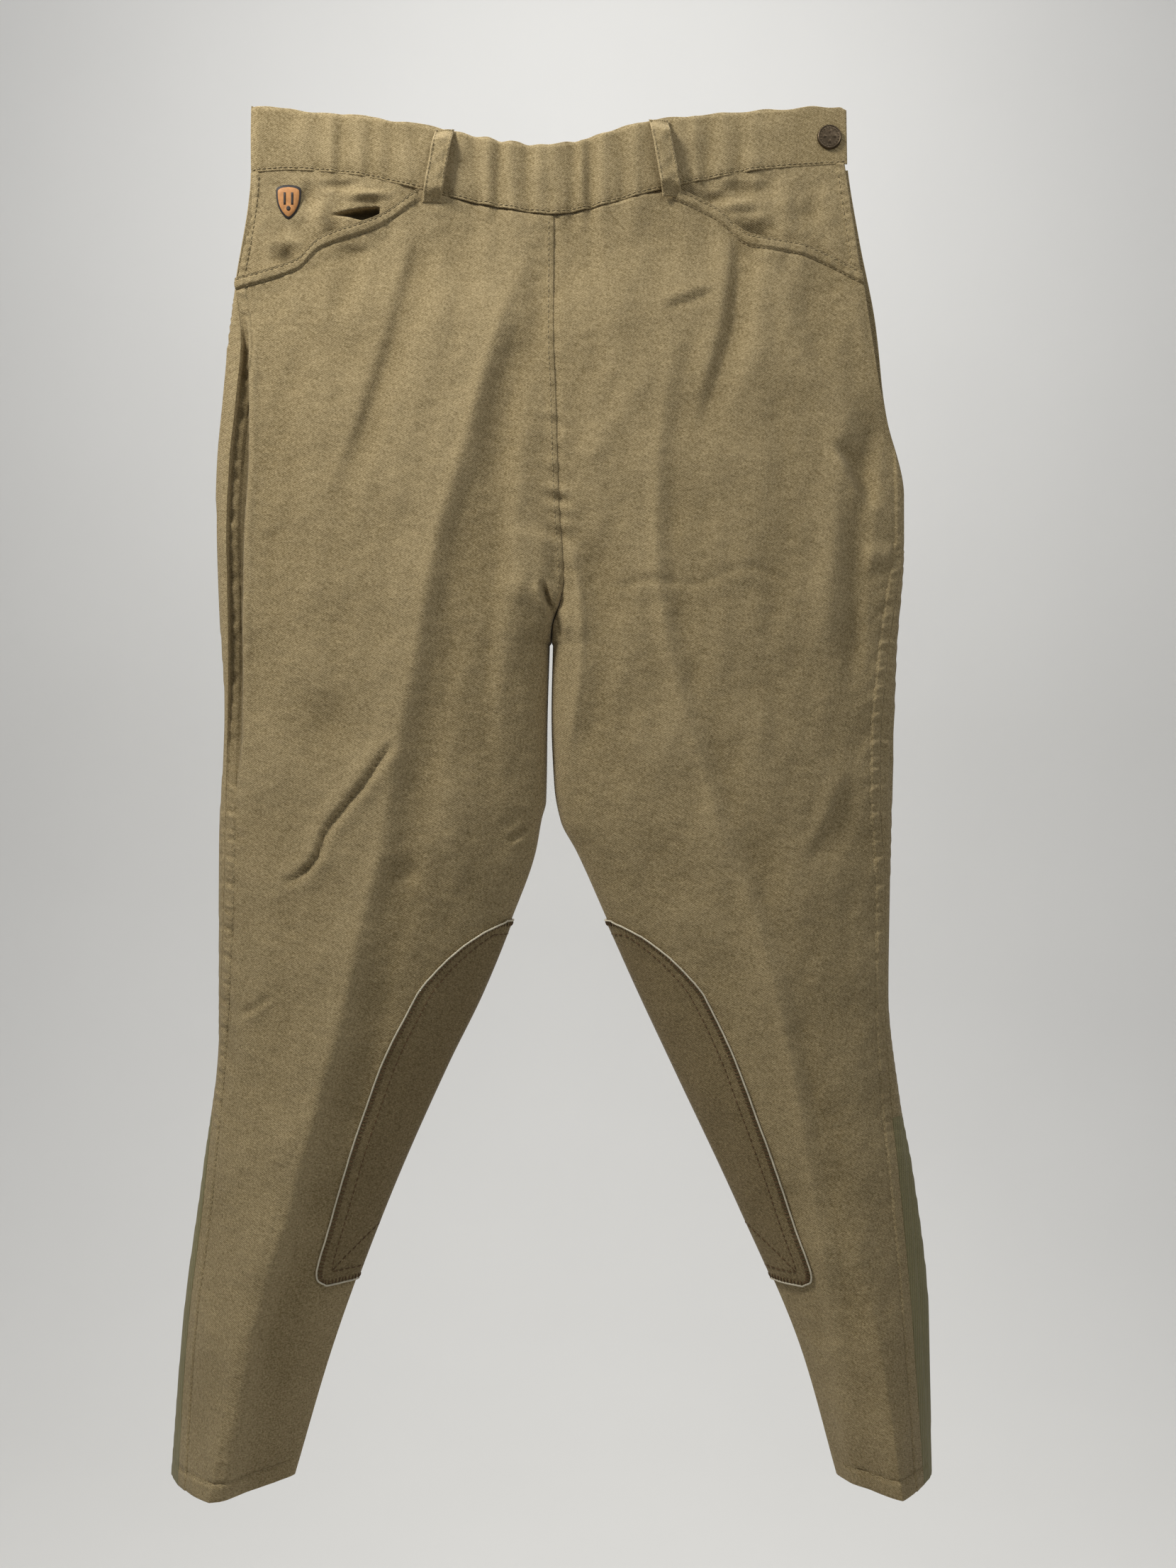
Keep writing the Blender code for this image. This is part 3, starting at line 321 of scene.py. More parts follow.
# Each fold is a path of (x, z), a profile of (distance to the right, height), and how much fades at each end.
FOLD_GAIN = 1.5
FRONT_FOLDS = [
    # wearer's right leg: the long crease, the band beside it, grooves from the pocket, and small wrinkles
    ([(-14, -95), (-34, -150), (-51, -205), (-62, -248), (-79, -305), (-91, -380), (-104, -446),
     (-115, -513), (-126, -555), (-140, -622), (-156, -679), (-175, -751), (-194, -813), (-206, -870),
     (-219, -945)], [(-48, 0), (-22, 0.8), (-6, 2.2), (-1, 3.1), (1, 3.0), (6, 1.6), (14, -0.8), (23, -1.8),
     (36, -0.6), (52, 0)], (0.10, 0)),
    ([(-30, -165), (-33, -250), (-40, -330), (-47, -420), (-44, -510)], [(-20, 0), (0, -1.5), (14, 0.5),
     (26, 0)], (0.2, 0.3)),
    ([(-89, -85), (-97, -125), (-105, -157), (-118, -200), (-131, -238), (-150, -290)], [(-24, 0), (-9, 0.5),
     (0, -1.7), (6, -1.3), (18, 0.6), (34, 0)], (0.2, 0.35)),
    ([(-134, -98), (-139, -125), (-148, -155)], [(-14, 0), (0, -1.4), (12, 0)], (0.1, 0.5)),
    ([(-10, -290), (-12, -325), (-20, -352)], [(-24, 0), (-4, 1.9), (3, 1.9), (14, 0)]),
    ([(-103, -434), (-128, -469), (-151, -497), (-158, -515), (-168, -527), (-186, -537)], [(-14, 0),
     (-4.5, 1.0), (-1.4, 0.6), (0, -1.5), (1.8, -1.1), (6, 0.9), (15, 0)], (0.15, 0.2)),
    ([(-114, -532), (-100, -530), (-86, -524)], [(-9, 0), (0, -1.5), (15, 0)], (0.3, 0.3)),
    ([(-31, -508), (-15, -497)], [(-9, 0), (-4, 0.7), (0, -1.3), (4, 0.5), (9, 0)], (0.3, 0.3)),
    ([(-214, -628), (-200, -620), (-186, -610)], [(-7, 0), (-2, 0.5), (0, -0.8), (7, 0)]),
    ([(-190, -150), (-186, -230), (-190, -300), (-178, -390)], [(-18, 0), (0, -0.8), (20, 0)]),
    ([(-160, -165), (-166, -215), (-172, -250)], [(-14, 0), (0, 0.9), (16, 0)]),
    ([(-68, -105), (-76, -150), (-90, -215), (-104, -290)], [(-14, 0), (0, 0.8), (12, 0)]),
    ([(-150, -330), (-146, -400), (-150, -460)], [(-16, 0), (0, -0.7), (18, 0)]),
    ([(-175, -545), (-180, -600), (-194, -680)], [(-16, 0), (0, -0.6), (16, 0)]),
    ([(-70, -455), (-66, -500), (-62, -545)], [(-12, 0), (0, 0.8), (12, 0)]),
    ([(-205, -830), (-180, -845), (-160, -842)], [(-8, 0), (0, -0.6), (8, 0)]),
    # wearer's left leg: the pressed crease, the groove below the pocket, hollows at the hip
    ([(86, -150), (75, -218), (70, -289), (73, -346), (86, -408), (101, -456), (115, -506), (129, -535),
     (146, -594), (157, -640), (173, -730), (188, -827), (197, -893), (203, -945)], [(-34, 0), (-8, 0.7),
     (0, 1.8), (3.5, 1.0), (13, -0.8), (28, -0.3), (42, 0)], (0.12, 0)),
    ([(130, -88), (127, -122), (122, -155), (114, -185), (106, -215), (99, -255)], [(-22, 0), (-9, 1.1),
     (0, -1.9), (5, -1.5), (18, 0.7), (32, 0)], (0.1, 0.5)),
    ([(64, -185), (43, -222), (18, -262)], [(-14, 0), (0, 0.9), (10, 0)]),
    ([(30, -338), (66, -331), (96, -334), (128, -322), (150, -327), (170, -338)], [(-14, 0), (-5, 0.25),
     (0, -0.35), (5, 0.1), (14, 0)], (0.2, 0.2)),
    ([(212, -205), (206, -245), (201, -286), (196, -335), (193, -410)], [(-24, 0), (-9, 1.3), (2, -0.5),
     (9, -1.9), (20, 0)], (0.15, 0.25)),
    ([(192, -232), (206, -250), (222, -280)], [(-14, 0), (-7, 0.8), (0, -2.4), (12, 0)]),
    ([(212, -314), (226, -311), (236, -312)], [(-10, 0), (0, 1.6), (10, 0)]),
    ([(208, -458), (192, -492), (172, -526)], [(-20, 0), (-9, 0.7), (0, -1.2), (18, 0)]),
    ([(74, -143), (92, -136), (112, -128)], [(-8, 0), (-2, -0.8), (2.5, 0.9), (9, 0)]),
    ([(11, -300), (18, -343), (19, -372), (17, -401), (10, -455)], [(-12, 0), (-4, 0.9), (0, 1.5), (6, -0.3),
     (14, -1.5), (28, 0)], (0.15, 0.2)),
    ([(130, -400), (142, -460), (158, -520)], [(-18, 0), (0, 0.8), (16, 0)]),
    ([(165, -230), (158, -300), (152, -380)], [(-18, 0), (0, -0.8), (18, 0)]),
    ([(50, -100), (47, -150), (36, -215)], [(-14, 0), (0, 0.8), (14, 0)]),
    ([(160, -115), (166, -160), (180, -205)], [(-14, 0), (0, 0.9), (12, 0)]),
    ([(170, -640), (186, -690), (204, -760)], [(-16, 0), (0, -0.7), (16, 0)]),
    ([(160, -835), (180, -842), (200, -836)], [(-8, 0), (0, -0.6), (8, 0)]),
    # between the legs
    ([(-7, -330), (-3, -343), (3, -356), (7, -372)], [(-9, 0), (-4, 1.2), (0, -3.2), (4, 0.9), (9, 0)],
     (0.2, 0.3)),
]
# The same folds on both sides of the back.
BACK_FOLDS = [
    ([(side * x, z) for x, z in path], profile, fade) for path, profile, fade in (
        ([(30, -110), (62, -200), (110, -300)], [(-24, 0), (0, 1.5), (22, 0)], (0.3, 0.4)),
        ([(12, -330), (62, -372), (130, -372), (185, -345)],
         [(-20, 0), (-7, 0.8), (0, -0.9), (8, 0.5), (22, 0)], (0.35, 0.45)),
        ([(18, -400), (68, -410), (120, -402)], [(-12, 0), (-4, 0.5), (0, -0.6), (12, 0)], (0.35, 0.45)),
        ([(120, -400), (130, -520), (165, -680), (215, -945)],
         [(-30, 0), (-4, 1.3), (0, 1.7), (4, 1.2), (28, 0)], (0.3, 0)),
        ([(85, -600), (130, -612), (180, -598)], [(-9, 0), (-3, 0.8), (0, -1.0), (9, 0)], (0.3, 0.3)),
        ([(175, -110), (165, -180), (176, -260)], [(-16, 0), (0, -1.2), (16, 0)], (0.25, 0.25)))
    for side in (RIGHT, LEFT)]


# Upright folds of the waistband, in mm: x at the middle, height (below 0 for a groove) and half width.
BAND_FOLDS = [
    (-170, 0.5, 5.0), (-153, 1.0, 3.6), (-145.5, -1.1, 3.2), (-133, 0.9, 3.6), (-124.5, -0.9, 3.2),
    (-111.5, -1.1, 3.6), (-100, 0.9, 4.6), (-64, 0.8, 5.0), (-53, -1.0, 3.6), (-44, 1.1, 3.4),
    (-36.8, -1.5, 3.0), (-28.5, 1.2, 3.6), (-18, -1.7, 3.6), (-8.5, 1.2, 4.2), (2, 1.0, 4.6),
    (14, -1.5, 4.0), (20, 0.8, 2.6), (25.8, -1.9, 3.6), (34.5, 1.4, 3.8), (47, -1.1, 4.0),
    (57, 1.0, 4.0), (87, 0.6, 4.6), (97.5, 1.1, 3.8), (107, -1.1, 3.6), (118, 0.8, 4.0),
    (128.5, -0.9, 3.6), (139, 0.7, 4.6)]


def gathers(x, down=0.5):
    """Soft upright folds of the waistband, which lean a little and fade toward its ends."""
    total = 0.0
    for k, (middle, height, half) in enumerate(BAND_FOLDS):
        lean = 0.0022 * math.sin(2.4 * k) * (down - 0.5)
        reach = mix(1.0, 0.45 + 0.55 * math.cos(1.7 * k) ** 2, np.abs(down - (k % 2)))
        total = total + height * bell(x - middle * MM - lean, half * MM) * reach
    return total * MM


def along_waves(at, pitch):
    """Uneven ripples along a seam, from -1 to 1."""
    return 0.6 * np.sin(2 * math.pi * at / pitch) + 0.4 * np.sin(2 * math.pi * at / pitch * 0.62 + 1.3)


def centre_seam(x, z):
    """The seam down the middle of the front or the back: a groove with puckers lower down."""
    away = x - centre_x(z)
    groove = 0.50 * bell(away + 0.0024, 0.0030) - 0.28 * bell(away - 0.0018, 0.0024)
    pull = smoothstep(z, -0.345, -0.290) * (1 - smoothstep(z, -0.250, -0.205))
    pucker = 1.5 * along_waves(z + 0.3 * away + 0.004 * np.sin(z * 90), 0.0150) * bell(away, 0.009) * pull
    small = 0.40 * along_waves(z, 0.011) * bell(away, 0.006)
    return np.where(z > CROTCH_Z, groove + pucker + small, 0.0) * MM


def side_seam(side, x, z):
    """Puckers and a pressed ridge beside the side seam, where it shows on the front."""
    away = np.abs(seam_x[side](z) - x)
    start = -0.300 if side == LEFT else -0.470
    shown = (1 - smoothstep(z, start - 0.02, start + 0.02)) * smoothstep(z, CALF_SEAM_Z - 0.02, CALF_SEAM_Z)
    rope = 1.05 * along_waves(z + 0.35 * away, 0.0062) * bump(away, 0.0040, 0.0050)
    pull = 0.55 * along_waves(z + 0.6 * away, 0.017) * bump(away, 0.006, 0.012)
    ridge = 0.85 * smoothstep(0.0078 - away, 0.0, 0.0014) - 0.35 * bell(away - 0.0076, 0.0009)
    return (rope * mix(0.30, 1.0, shown) + pull * shown + ridge) * MM


def side_fold(x, z):
    """The wearer's right: the front rolls over the side seam and the back cloth stands out behind it."""
    out = roll_x(z) - x
    depth = 7.0 * fold_depth(z) * MM
    wall = smoothstep(out, -0.0002, 0.0014)
    recover = 1 - 0.35 * smoothstep(out, 0.0014, 0.0130)
    beyond = smoothstep(seam_x[RIGHT](z) - x, -0.0012, 0.0008)
    lip = 1.1 * MM * bump(out, -0.0030, 0.0050) * fold_depth(z)
    rope = 0.7 * MM * along_waves(z, 0.014) * bump(x - seam_x[RIGHT](z), 0.003, 0.005) * fold_depth(z)
    return lip + rope - depth * wall * recover * (1 - beyond)


def fold_depth(z):
    """How open the side fold is, from 0 to 1."""
    return smoothstep(z, -0.510, -0.370) * (1 - smoothstep(z, -0.185, -0.135))


def inner_window(side, x, z):
    """0 along the inside of the leg, where the front and the back meet, and 1 away from it and higher up."""
    away = np.abs(x - inner_edge(side, z))
    return mix(smoothstep(away, 0.0, 0.010), 1.0, smoothstep(z, CROTCH_Z, CROTCH_Z + 0.045))


def front_height(side, x, z):
    """How far the folds stand out of the smooth front."""
    height = FOLD_GAIN * sum(fold(x, z, *each) for each in FRONT_FOLDS)
    height = height + (0.50 * undulation(x, z, 0.075, 3) + 0.22 * undulation(x, z * 0.6, 0.028, 4)) * MM
    height = height + 0.10 * undulation(x, z, 0.011, 5) * MM
    below = waist_seam(x) - z
    height = height + 0.75 * gathers(x, 1.0) * np.exp(-np.maximum(below, 0) / 0.015)
    hem = bump(z, HEM_Z + 0.0120, 0.0019)
    turned_up = 1 - smoothstep(z, HEM_Z + 0.0095, HEM_Z + 0.0125)
    height = height - 1.2 * MM * hem + 0.9 * MM * turned_up
    height = height + 0.35 * MM * along_waves(x + 0.4 * z, 0.0065) * bump(z, HEM_Z + 0.011, 0.010)
    height = height + 0.9 * MM * undulation(x, z * 0.3, 0.045, 8) * (1 - smoothstep(z, HEM_Z, HEM_Z + 0.05))
    outer = np.abs(x - outer_edge(side, z, True))
    height = height * inner_window(side, x, z) * smoothstep(outer, 0.0, 0.010) + centre_seam(x, z)
    height = height + side_seam(side, x, z) * smoothstep(outer, 0.0, 0.003)
    if side == RIGHT:
        height = height + side_fold(x, z)
    return height


def back_height(side, x, z):
    height = sum(fold(x, z, *each) for each in BACK_FOLDS)
    height = height + (0.55 * undulation(x, z, 0.080, 13) + 0.25 * undulation(x, z * 0.6, 0.030, 14)) * MM
    height = height + 0.10 * undulation(x, z, 0.011, 15) * MM
    height = height - 0.5 * MM * bump(z, HEM_Z + HEM_ROW, 0.0022)
    outer = np.abs(x - outer_edge(side, z, False))
    return height * inner_window(side, x, z) * smoothstep(outer, 0.0, 0.012) + centre_seam(x, z)


def cloth_points(side, z, q):
    """Points of the folded cloth.  Past q 4 they go on round the front, as q - 4."""
    q = np.where(q > 4, q - 4, q)
    x, y = leg_surface(side, z, q)
    height = np.where(q <= 2, -front_height(side, x, z), back_height(side, x, z))
    return xyz(x, y + height, z), np.where(q <= 2, -height, height)


def front_points(x, z):
    """Points of the folded front at x, z."""
    x, z = np.asarray(x, float), np.asarray(z, float)
    both = [cloth_points(side, z, front_q(side, x, z))[0] for side in (RIGHT, LEFT)]
    is_left = x > np.where(z > CROTCH_Z, centre_x(z), 0.0)
    return np.where(is_left[..., None], both[1], both[0])


# ---------------------------------------------------------------- meshes
def grid_normals(grid, outward):
    """Unit normals of a grid of points, on the side that outward points to on average."""
    normal = unit(np.cross(np.gradient(grid, axis=0), np.gradient(grid, axis=1)))
    flip = -1 if (normal.reshape(-1, 3).mean(0) @ np.array(outward, float)) < 0 else 1
    return normal * flip, flip


def add_object(name, data):
    made = bpy.data.objects.new(name, data)
    bpy.context.collection.objects.link(made)
    return made


def new_object(name, verts, faces, material, tone=None):
    mesh = bpy.data.meshes.new(name)
    mesh.from_pydata(verts.tolist(), [], faces)
    mesh.materials.append(material)
    mesh.shade_smooth()
    mesh.set_sharp_from_angle(angle=math.radians(62))
    if tone is not None:
        mesh.attributes.new("tone", "FLOAT", "POINT").data.foreach_set("value", tone.astype(np.float32))
    return add_object(name, mesh)


def cloth(name, grid, material, outward=FORWARD, thickness=TWILL, tone=None, used=None, rim=4):
    """A cloth piece with rounded edges from a grid of points on its outer face."""
    rows, columns = grid.shape[:2]
    normal, flip = grid_normals(grid, outward)
    index = np.arange(rows * columns).reshape(rows, columns)
    corners = [index[:-1, :-1], index[1:, :-1], index[1:, 1:], index[:-1, 1:]]
    keep = np.ones((rows - 1, columns - 1), bool) if used is None else used
    quads = np.stack([c[keep] for c in corners], axis=1)
    if flip < 0:
        quads = quads[:, ::-1]
    flat, normal = grid.reshape(-1, 3), normal.reshape(-1, 3)
    edges = np.concatenate([quads[:, [k, (k + 1) % 4]] for k in range(4)])
    count = rows * columns
    border = edges[~np.isin(edges[:, 0] * count + edges[:, 1], edges[:, 1] * count + edges[:, 0])]
    along = flat[border[:, 1]] - flat[border[:, 0]]
    along /= np.maximum(np.linalg.norm(along, axis=1, keepdims=True), 1e-9)
    outwards = np.zeros_like(flat)
    for end in (0, 1):
        np.add.at(outwards, border[:, end], np.cross(along, normal[border[:, end]]))
    length = np.linalg.norm(outwards, axis=1, keepdims=True)
    outwards = np.where(length > 0, outwards / np.maximum(length, 1e-9), 0)
    flat = flat - outwards * thickness / 2
    inner = flat - normal * thickness
    rim_index = np.unique(border)
    place = np.full(count, -1)
    place[rim_index] = np.arange(len(rim_index))
    verts, faces = [flat, inner], quads.tolist() + (quads[:, ::-1] + count).tolist()
    before = border
    for k in range(1, rim + 1):
        if k < rim:
            angle = math.pi * k / rim
            middle = (flat - normal * thickness / 2)[rim_index]
            ring = middle + thickness / 2 * (normal[rim_index] * math.cos(angle)
                                             + outwards[rim_index] * math.sin(angle))
            verts.append(ring)
            after = place[border] + 2 * count + (k - 1) * len(rim_index)
        else:
            after = border + count
        faces += np.stack([before[:, 1], before[:, 0], after[:, 0], after[:, 1]], axis=1).tolist()
        before = after
    every = np.concatenate(verts)
    tones = None
    if tone is not None:
        tone = tone.reshape(-1)
        # The rims get a lighter tone: a painted highlight along the rounded edges.
        tones = np.concatenate([tone, tone] + [tone[rim_index] + 0.25] * (rim - 1))
    mapped = np.unique(np.concatenate([np.array(f) for f in faces]))
    new_place = np.full(len(every), -1)
    new_place[mapped] = np.arange(len(mapped))
    faces = new_place[np.array(faces)].tolist()
    return new_object(name, every[mapped], faces, material, None if tones is None else tones[mapped])


def ring_faces(rings, sides, capped=True):
    """Faces that join each ring of points to the next, with a cap at both ends."""
    faces = [(near + k, near + (k + 1) % sides, near + sides + (k + 1) % sides, near + sides + k)
             for near in range(0, (rings - 1) * sides, sides) for k in range(sides)]
    caps = [tuple(range(sides))[::-1], tuple(range((rings - 1) * sides, rings * sides))]
    return faces + caps if capped else faces


def round_ring(centre, first, second, radius, sides):
    """Points on circles round each centre, in the plane of two unit directions."""
    angles = [2 * math.pi * k / sides for k in range(sides)]
    return [centre + radius * (first * math.cos(a) + second * math.sin(a)) for a in angles]


def tube(name, path, radius, material, sides):
    """A round cord along a path of points."""
    along = np.gradient(path, axis=0)
    first = unit(np.cross(unit(along), [0.0, 1.0, 0.0]))
    second = np.cross(unit(along), first)
    verts = np.stack(round_ring(path, first, second, radius, sides), axis=1).reshape(-1, 3)
    return new_object(name, verts, ring_faces(len(path), sides), material)


def stitch_mesh(name, starts, ends, normals, material, radius=0.00030):
    """One small arched thread for each start and end."""
    along = ends - starts
    length = np.linalg.norm(along, axis=1, keepdims=True)
    along = along / np.maximum(length, 1e-9)
    across = np.cross(along, normals)
    rings = [(0.0, -0.5, 0.35), (0.18, 0.25, 0.9), (0.5, 0.55, 1.0), (0.82, 0.25, 0.9), (1.0, -0.5, 0.35)]
    sides, verts = 5, []
    for at, lift, share in rings:
        centre = starts + along * length * at + normals * radius * lift
        verts += round_ring(centre, normals, across, radius * share, sides)
    pattern = ring_faces(len(rings), sides)
    faces = [tuple(n * len(rings) * sides + v for v in face) for n in range(len(starts)) for face in pattern]
    return new_object(name, np.stack(verts, axis=1).reshape(-1, 3), faces, material)


# ---------------------------------------------------------------- materials
class Nodes:
    """A small helper that adds shader nodes and links them."""

    def __init__(self, name):
        self.material = bpy.data.materials.new(name)
        self.material.use_nodes = True
        self.tree = self.material.node_tree
        self.shader = self.tree.nodes["Principled BSDF"]

    def add(self, kind, inputs=None, out=0, **settings):
        node = self.tree.nodes.new(kind)
        for key, value in settings.items():
            setattr(node, key, value)
        for key, value in (inputs or {}).items():
            self.put(node.inputs[key], value)
        return node.outputs[out]

    def put(self, socket, value):
        if isinstance(value, bpy.types.NodeSocket):
            self.tree.links.new(value, socket)
        else:
            socket.default_value = value

    def math(self, operation, a, b=0.0):
        return self.add("ShaderNodeMath", {0: a, 1: b}, operation=operation)

    def noise(self, vector, scale, detail=2.0, rough=0.5):
        return self.add("ShaderNodeTexNoise", {"Vector": vector, "Scale": scale, "Detail": detail,
                                               "Roughness": rough})

    def ramp(self, value, low, high):
        return self.add("ShaderNodeMapRange", {0: value, 1: low, 2: high, 3: 0.0, 4: 1.0})

    def blend(self, share, a, b):
        return self.add("ShaderNodeMix", {0: share, 6: a, 7: b}, out=2, data_type="RGBA")

    def weigh(self, *terms, start=0.0, centre=0.0):
        """start plus the sum of (value - centre) x weight over (value, weight) terms."""
        total = start
        for value, weight in terms:
            if centre:
                value = self.math("SUBTRACT", value, centre)
            total = self.math("ADD", self.math("MULTIPLY", value, weight), total)
        return total

    def bump(self, height, strength, distance):
        return self.add("ShaderNodeBump", {"Height": height, "Strength": strength, "Distance": distance})

    def place(self):
        return self.add("ShaderNodeTexCoord", out=3)

    def finish(self, **sockets):
        for key, value in sockets.items():
            self.put(self.shader.inputs[key.replace("_", " ")], value)
        return self.material


def rgba(colour, gain=1.0):
    return tuple(min(c * gain, 1.0) for c in colour) + (1.0,)


def cloth_material(name, colour, weave=0.0011, slant=58, mottle=0.13, fuzz=0.46):
    """Brushed woven cloth: slanted ribs, fibre fuzz, blotches, and painted shade and highlight from the tone
    attribute.
    """
    n = Nodes(name)
    place = n.place()
    turned = n.add("ShaderNodeMapping", {"Vector": place, "Rotation": (0, math.radians(slant), 0)})
    ribs = n.add("ShaderNodeTexWave", {"Vector": turned, "Scale": 0.314 / weave, "Distortion": 1.5,
                                       "Detail": 2.0, "Detail Scale": 3.0})
    long_fibres = n.add("ShaderNodeMapping", {"Vector": turned, "Scale": (1.0, 1.0, 0.30)})
    fibres = n.noise(long_fibres, 900, 3.0, 0.65)
    grain = n.noise(place, 820, 3.0, 0.65)
    blotches = n.noise(place, 30, 5.0, 0.62)
    broad = n.noise(place, 7, 3.0, 0.5)
    # The tone attribute carries painted light: painted highlight on ridges and rims, painted shade in folds
    # and hollows.
    painted_shading = n.add("ShaderNodeAttribute", out=2, attribute_name="tone")
    total = n.weigh((fibres, fuzz * 3.0), (grain, fuzz * 4.6), (blotches, mottle), (broad, mottle * 0.9),
                    (ribs, fuzz * 0.35), start=0.5, centre=0.5)
    total = n.weigh((painted_shading, 0.55), start=total)
    dark = (colour[0] * 0.60, colour[1] * 0.57, colour[2] * 0.50)
    light = (colour[0] * 1.36, colour[1] * 1.38, colour[2] * 1.50)
    colour_out = n.blend(total, rgba(dark), rgba(light))
    # Painted shade: where the tone is deep, the colour is blended toward a much darker copy of itself.
    shade = n.add("ShaderNodeMapRange", {0: painted_shading, 1: -0.30, 2: -1.0, 3: 0.0, 4: 0.85})
    colour_out = n.blend(shade, colour_out, rgba(colour, 0.16))
    relief_out = n.bump(n.weigh((ribs, 0.35), (fibres, 0.8), (grain, 1.1)), 0.8, 0.00042)
    return n.finish(Base_Color=colour_out, Normal=relief_out, Roughness=n.weigh((grain, 0.10), start=0.84),
                    Sheen_Weight=0.10, Sheen_Roughness=0.45, Specular_IOR_Level=0.18)


def knit_material(name, colour, rib=0.0017):
    """Ribbed stretch knit with upright ribs and small loops."""
    n = Nodes(name)
    place = n.place()
    ribs = n.add("ShaderNodeTexWave", {"Vector": place, "Scale": 0.314 / rib, "Distortion": 0.6})
    loops = n.add("ShaderNodeTexWave", {"Vector": place, "Scale": 0.314 / (rib * 0.6), "Distortion": 2.0},
                  bands_direction="Z")
    grain = n.noise(place, 500, 3.0, 0.7)
    blotches = n.noise(place, 34, 5.0, 0.6)
    total = n.weigh((grain, 0.50), (blotches, 0.35), (ribs, 0.30), start=0.5, centre=0.5)
    colour_out = n.blend(total, rgba(colour, 0.62), rgba(colour, 1.40))
    relief_out = n.bump(n.weigh((ribs, 1.0), (loops, 0.4), (grain, 0.7)), 0.8, 0.00030)
    return n.finish(Base_Color=colour_out, Normal=relief_out, Roughness=0.88, Sheen_Weight=0.10,
                    Specular_IOR_Level=0.2)


def thread_material(name, colour):
    n = Nodes(name)
    place = n.place()
    twist = n.add("ShaderNodeTexWave", {"Vector": place, "Scale": 900.0, "Distortion": 1.0},
                  bands_direction="DIAGONAL")
    patches = n.noise(place, 260, 2.0)
    share = n.weigh((twist, 0.4), (patches, 0.6))
    return n.finish(Base_Color=n.blend(share, rgba(colour, 0.70), rgba(colour, 1.25)), Roughness=0.75,
                    Specular_IOR_Level=0.3)


def metal_material(name, colour, roughness):
    """Dull metal, darker in patches, with fine scratches."""
    n = Nodes(name)
    place = n.place()
    patches = n.ramp(n.noise(place, 420, 5.0, 0.65), 0.35, 0.68)
    scratches = n.noise(n.add("ShaderNodeMapping", {"Vector": place, "Scale": (1, 1, 0.08)}), 5200, 2.0)
    colour_out = n.blend(n.weigh((patches, 0.5)), rgba(colour, 1.25), rgba(colour, 0.35))
    return n.finish(Base_Color=colour_out, Metallic=1.0, Roughness=n.weigh((patches, 0.22), start=roughness),
                    Normal=n.bump(scratches, 0.25, 0.0001))


def leather_material(name, colour):
    n = Nodes(name)
    place = n.place()
    cells = n.add("ShaderNodeTexVoronoi", {"Vector": place, "Scale": 2300.0}, feature="DISTANCE_TO_EDGE")
    patches = n.noise(place, 300, 4.0, 0.6)
    colour_out = n.blend(n.ramp(patches, 0.3, 0.7), rgba(colour, 0.75), rgba(colour, 1.15))
    return n.finish(Base_Color=colour_out, Roughness=0.55, Specular_IOR_Level=0.4,
                    Normal=n.bump(n.ramp(cells, 0.0, 0.12), 0.35, 0.0001))


def plain_material(name, colour):
    n = Nodes(name)
    soft = n.noise(n.place(), 2.0, 3.0)
    return n.finish(Base_Color=n.blend(soft, rgba(colour, 0.97), rgba(colour, 1.02)), Roughness=0.9)


TAN = (0.330, 0.254, 0.128)
twill = cloth_material("tan_twill", TAN)
band_twill = cloth_material("waistband_twill", (0.340, 0.262, 0.132))
patch_twill = cloth_material("knee_patch_twill", (0.235, 0.176, 0.085))
lining_cotton = cloth_material("lining_cotton", (0.44, 0.37, 0.25), weave=0.0008, slant=0, mottle=0.12,
                               fuzz=0.16)
olive_knit = knit_material("olive_stretch_knit", (0.235, 0.205, 0.098))
tape_cloth = cloth_material("zip_tape_cloth", (0.27, 0.21, 0.11), weave=0.0009, slant=90, mottle=0.12)
edging = thread_material("cream_edging", (0.62, 0.56, 0.42))
tan_thread = thread_material("tan_thread", (0.36, 0.285, 0.155))
brown_thread = thread_material("brown_thread", (0.115, 0.062, 0.026))
bronze = metal_material("antique_bronze", (0.105, 0.078, 0.050), 0.40)
brass = metal_material("dull_brass", (0.40, 0.29, 0.13), 0.34)
badge_leather = leather_material("badge_leather", (0.56, 0.25, 0.075))
badge_black = leather_material("badge_black", (0.020, 0.015, 0.012))


# ---------------------------------------------------------------- leg panels
COLUMNS, ROW_STEP = 120, 0.0019


def spread(count, ends):
    """Shares from 0 to 1, packed closer together near both ends."""
    t = np.linspace(0, 1, count)
    return mix(t, 0.5 - 0.5 * np.cos(math.pi * t), ends)


def front_top(side, x):
    """Top edge of the front panel: the waistband seam, then the pocket scoop."""
    inside = np.abs(x) < abs(SCOOP_START[side])
    return np.where(inside, waist_seam(x), np.minimum(waist_seam(x), scoop_z[side](x)))


def seam_across(side, z):
    """Share of the width from the outer edge to the side seam, where it shows on the front."""
    edge, inner = outer_edge(side, z, True), inner_edge(side, z)
    start = SEAM_START[side]
    share = np.clip((edge - seam_x[side](z)) / (edge - inner), 0.0, 1.0)
    return share * (1 - smoothstep(z, start - 0.010, start))


def column_heights(top_of, count_top=48):
    """Rows that lead from a top edge down to YOKE_END_Z and then evenly down to the hem."""
    shares = np.linspace(0, 1, count_top) ** 1.5
    below = np.arange(YOKE_END_Z - ROW_STEP, HEM_Z, -ROW_STEP)
    below = np.append(below[:-1], HEM_Z)
    top_rows = top_of[None, :] + (YOKE_END_Z - top_of[None, :]) * shares[:, None]
    return np.vstack([top_rows, np.repeat(below[:, None], len(top_of), axis=1)])


def tone_of(height):
    """Painted highlight on the ridges and painted shade in the hollows, from the height of the folds."""
    return np.clip(height / (10 * MM), -0.25, 0.20)


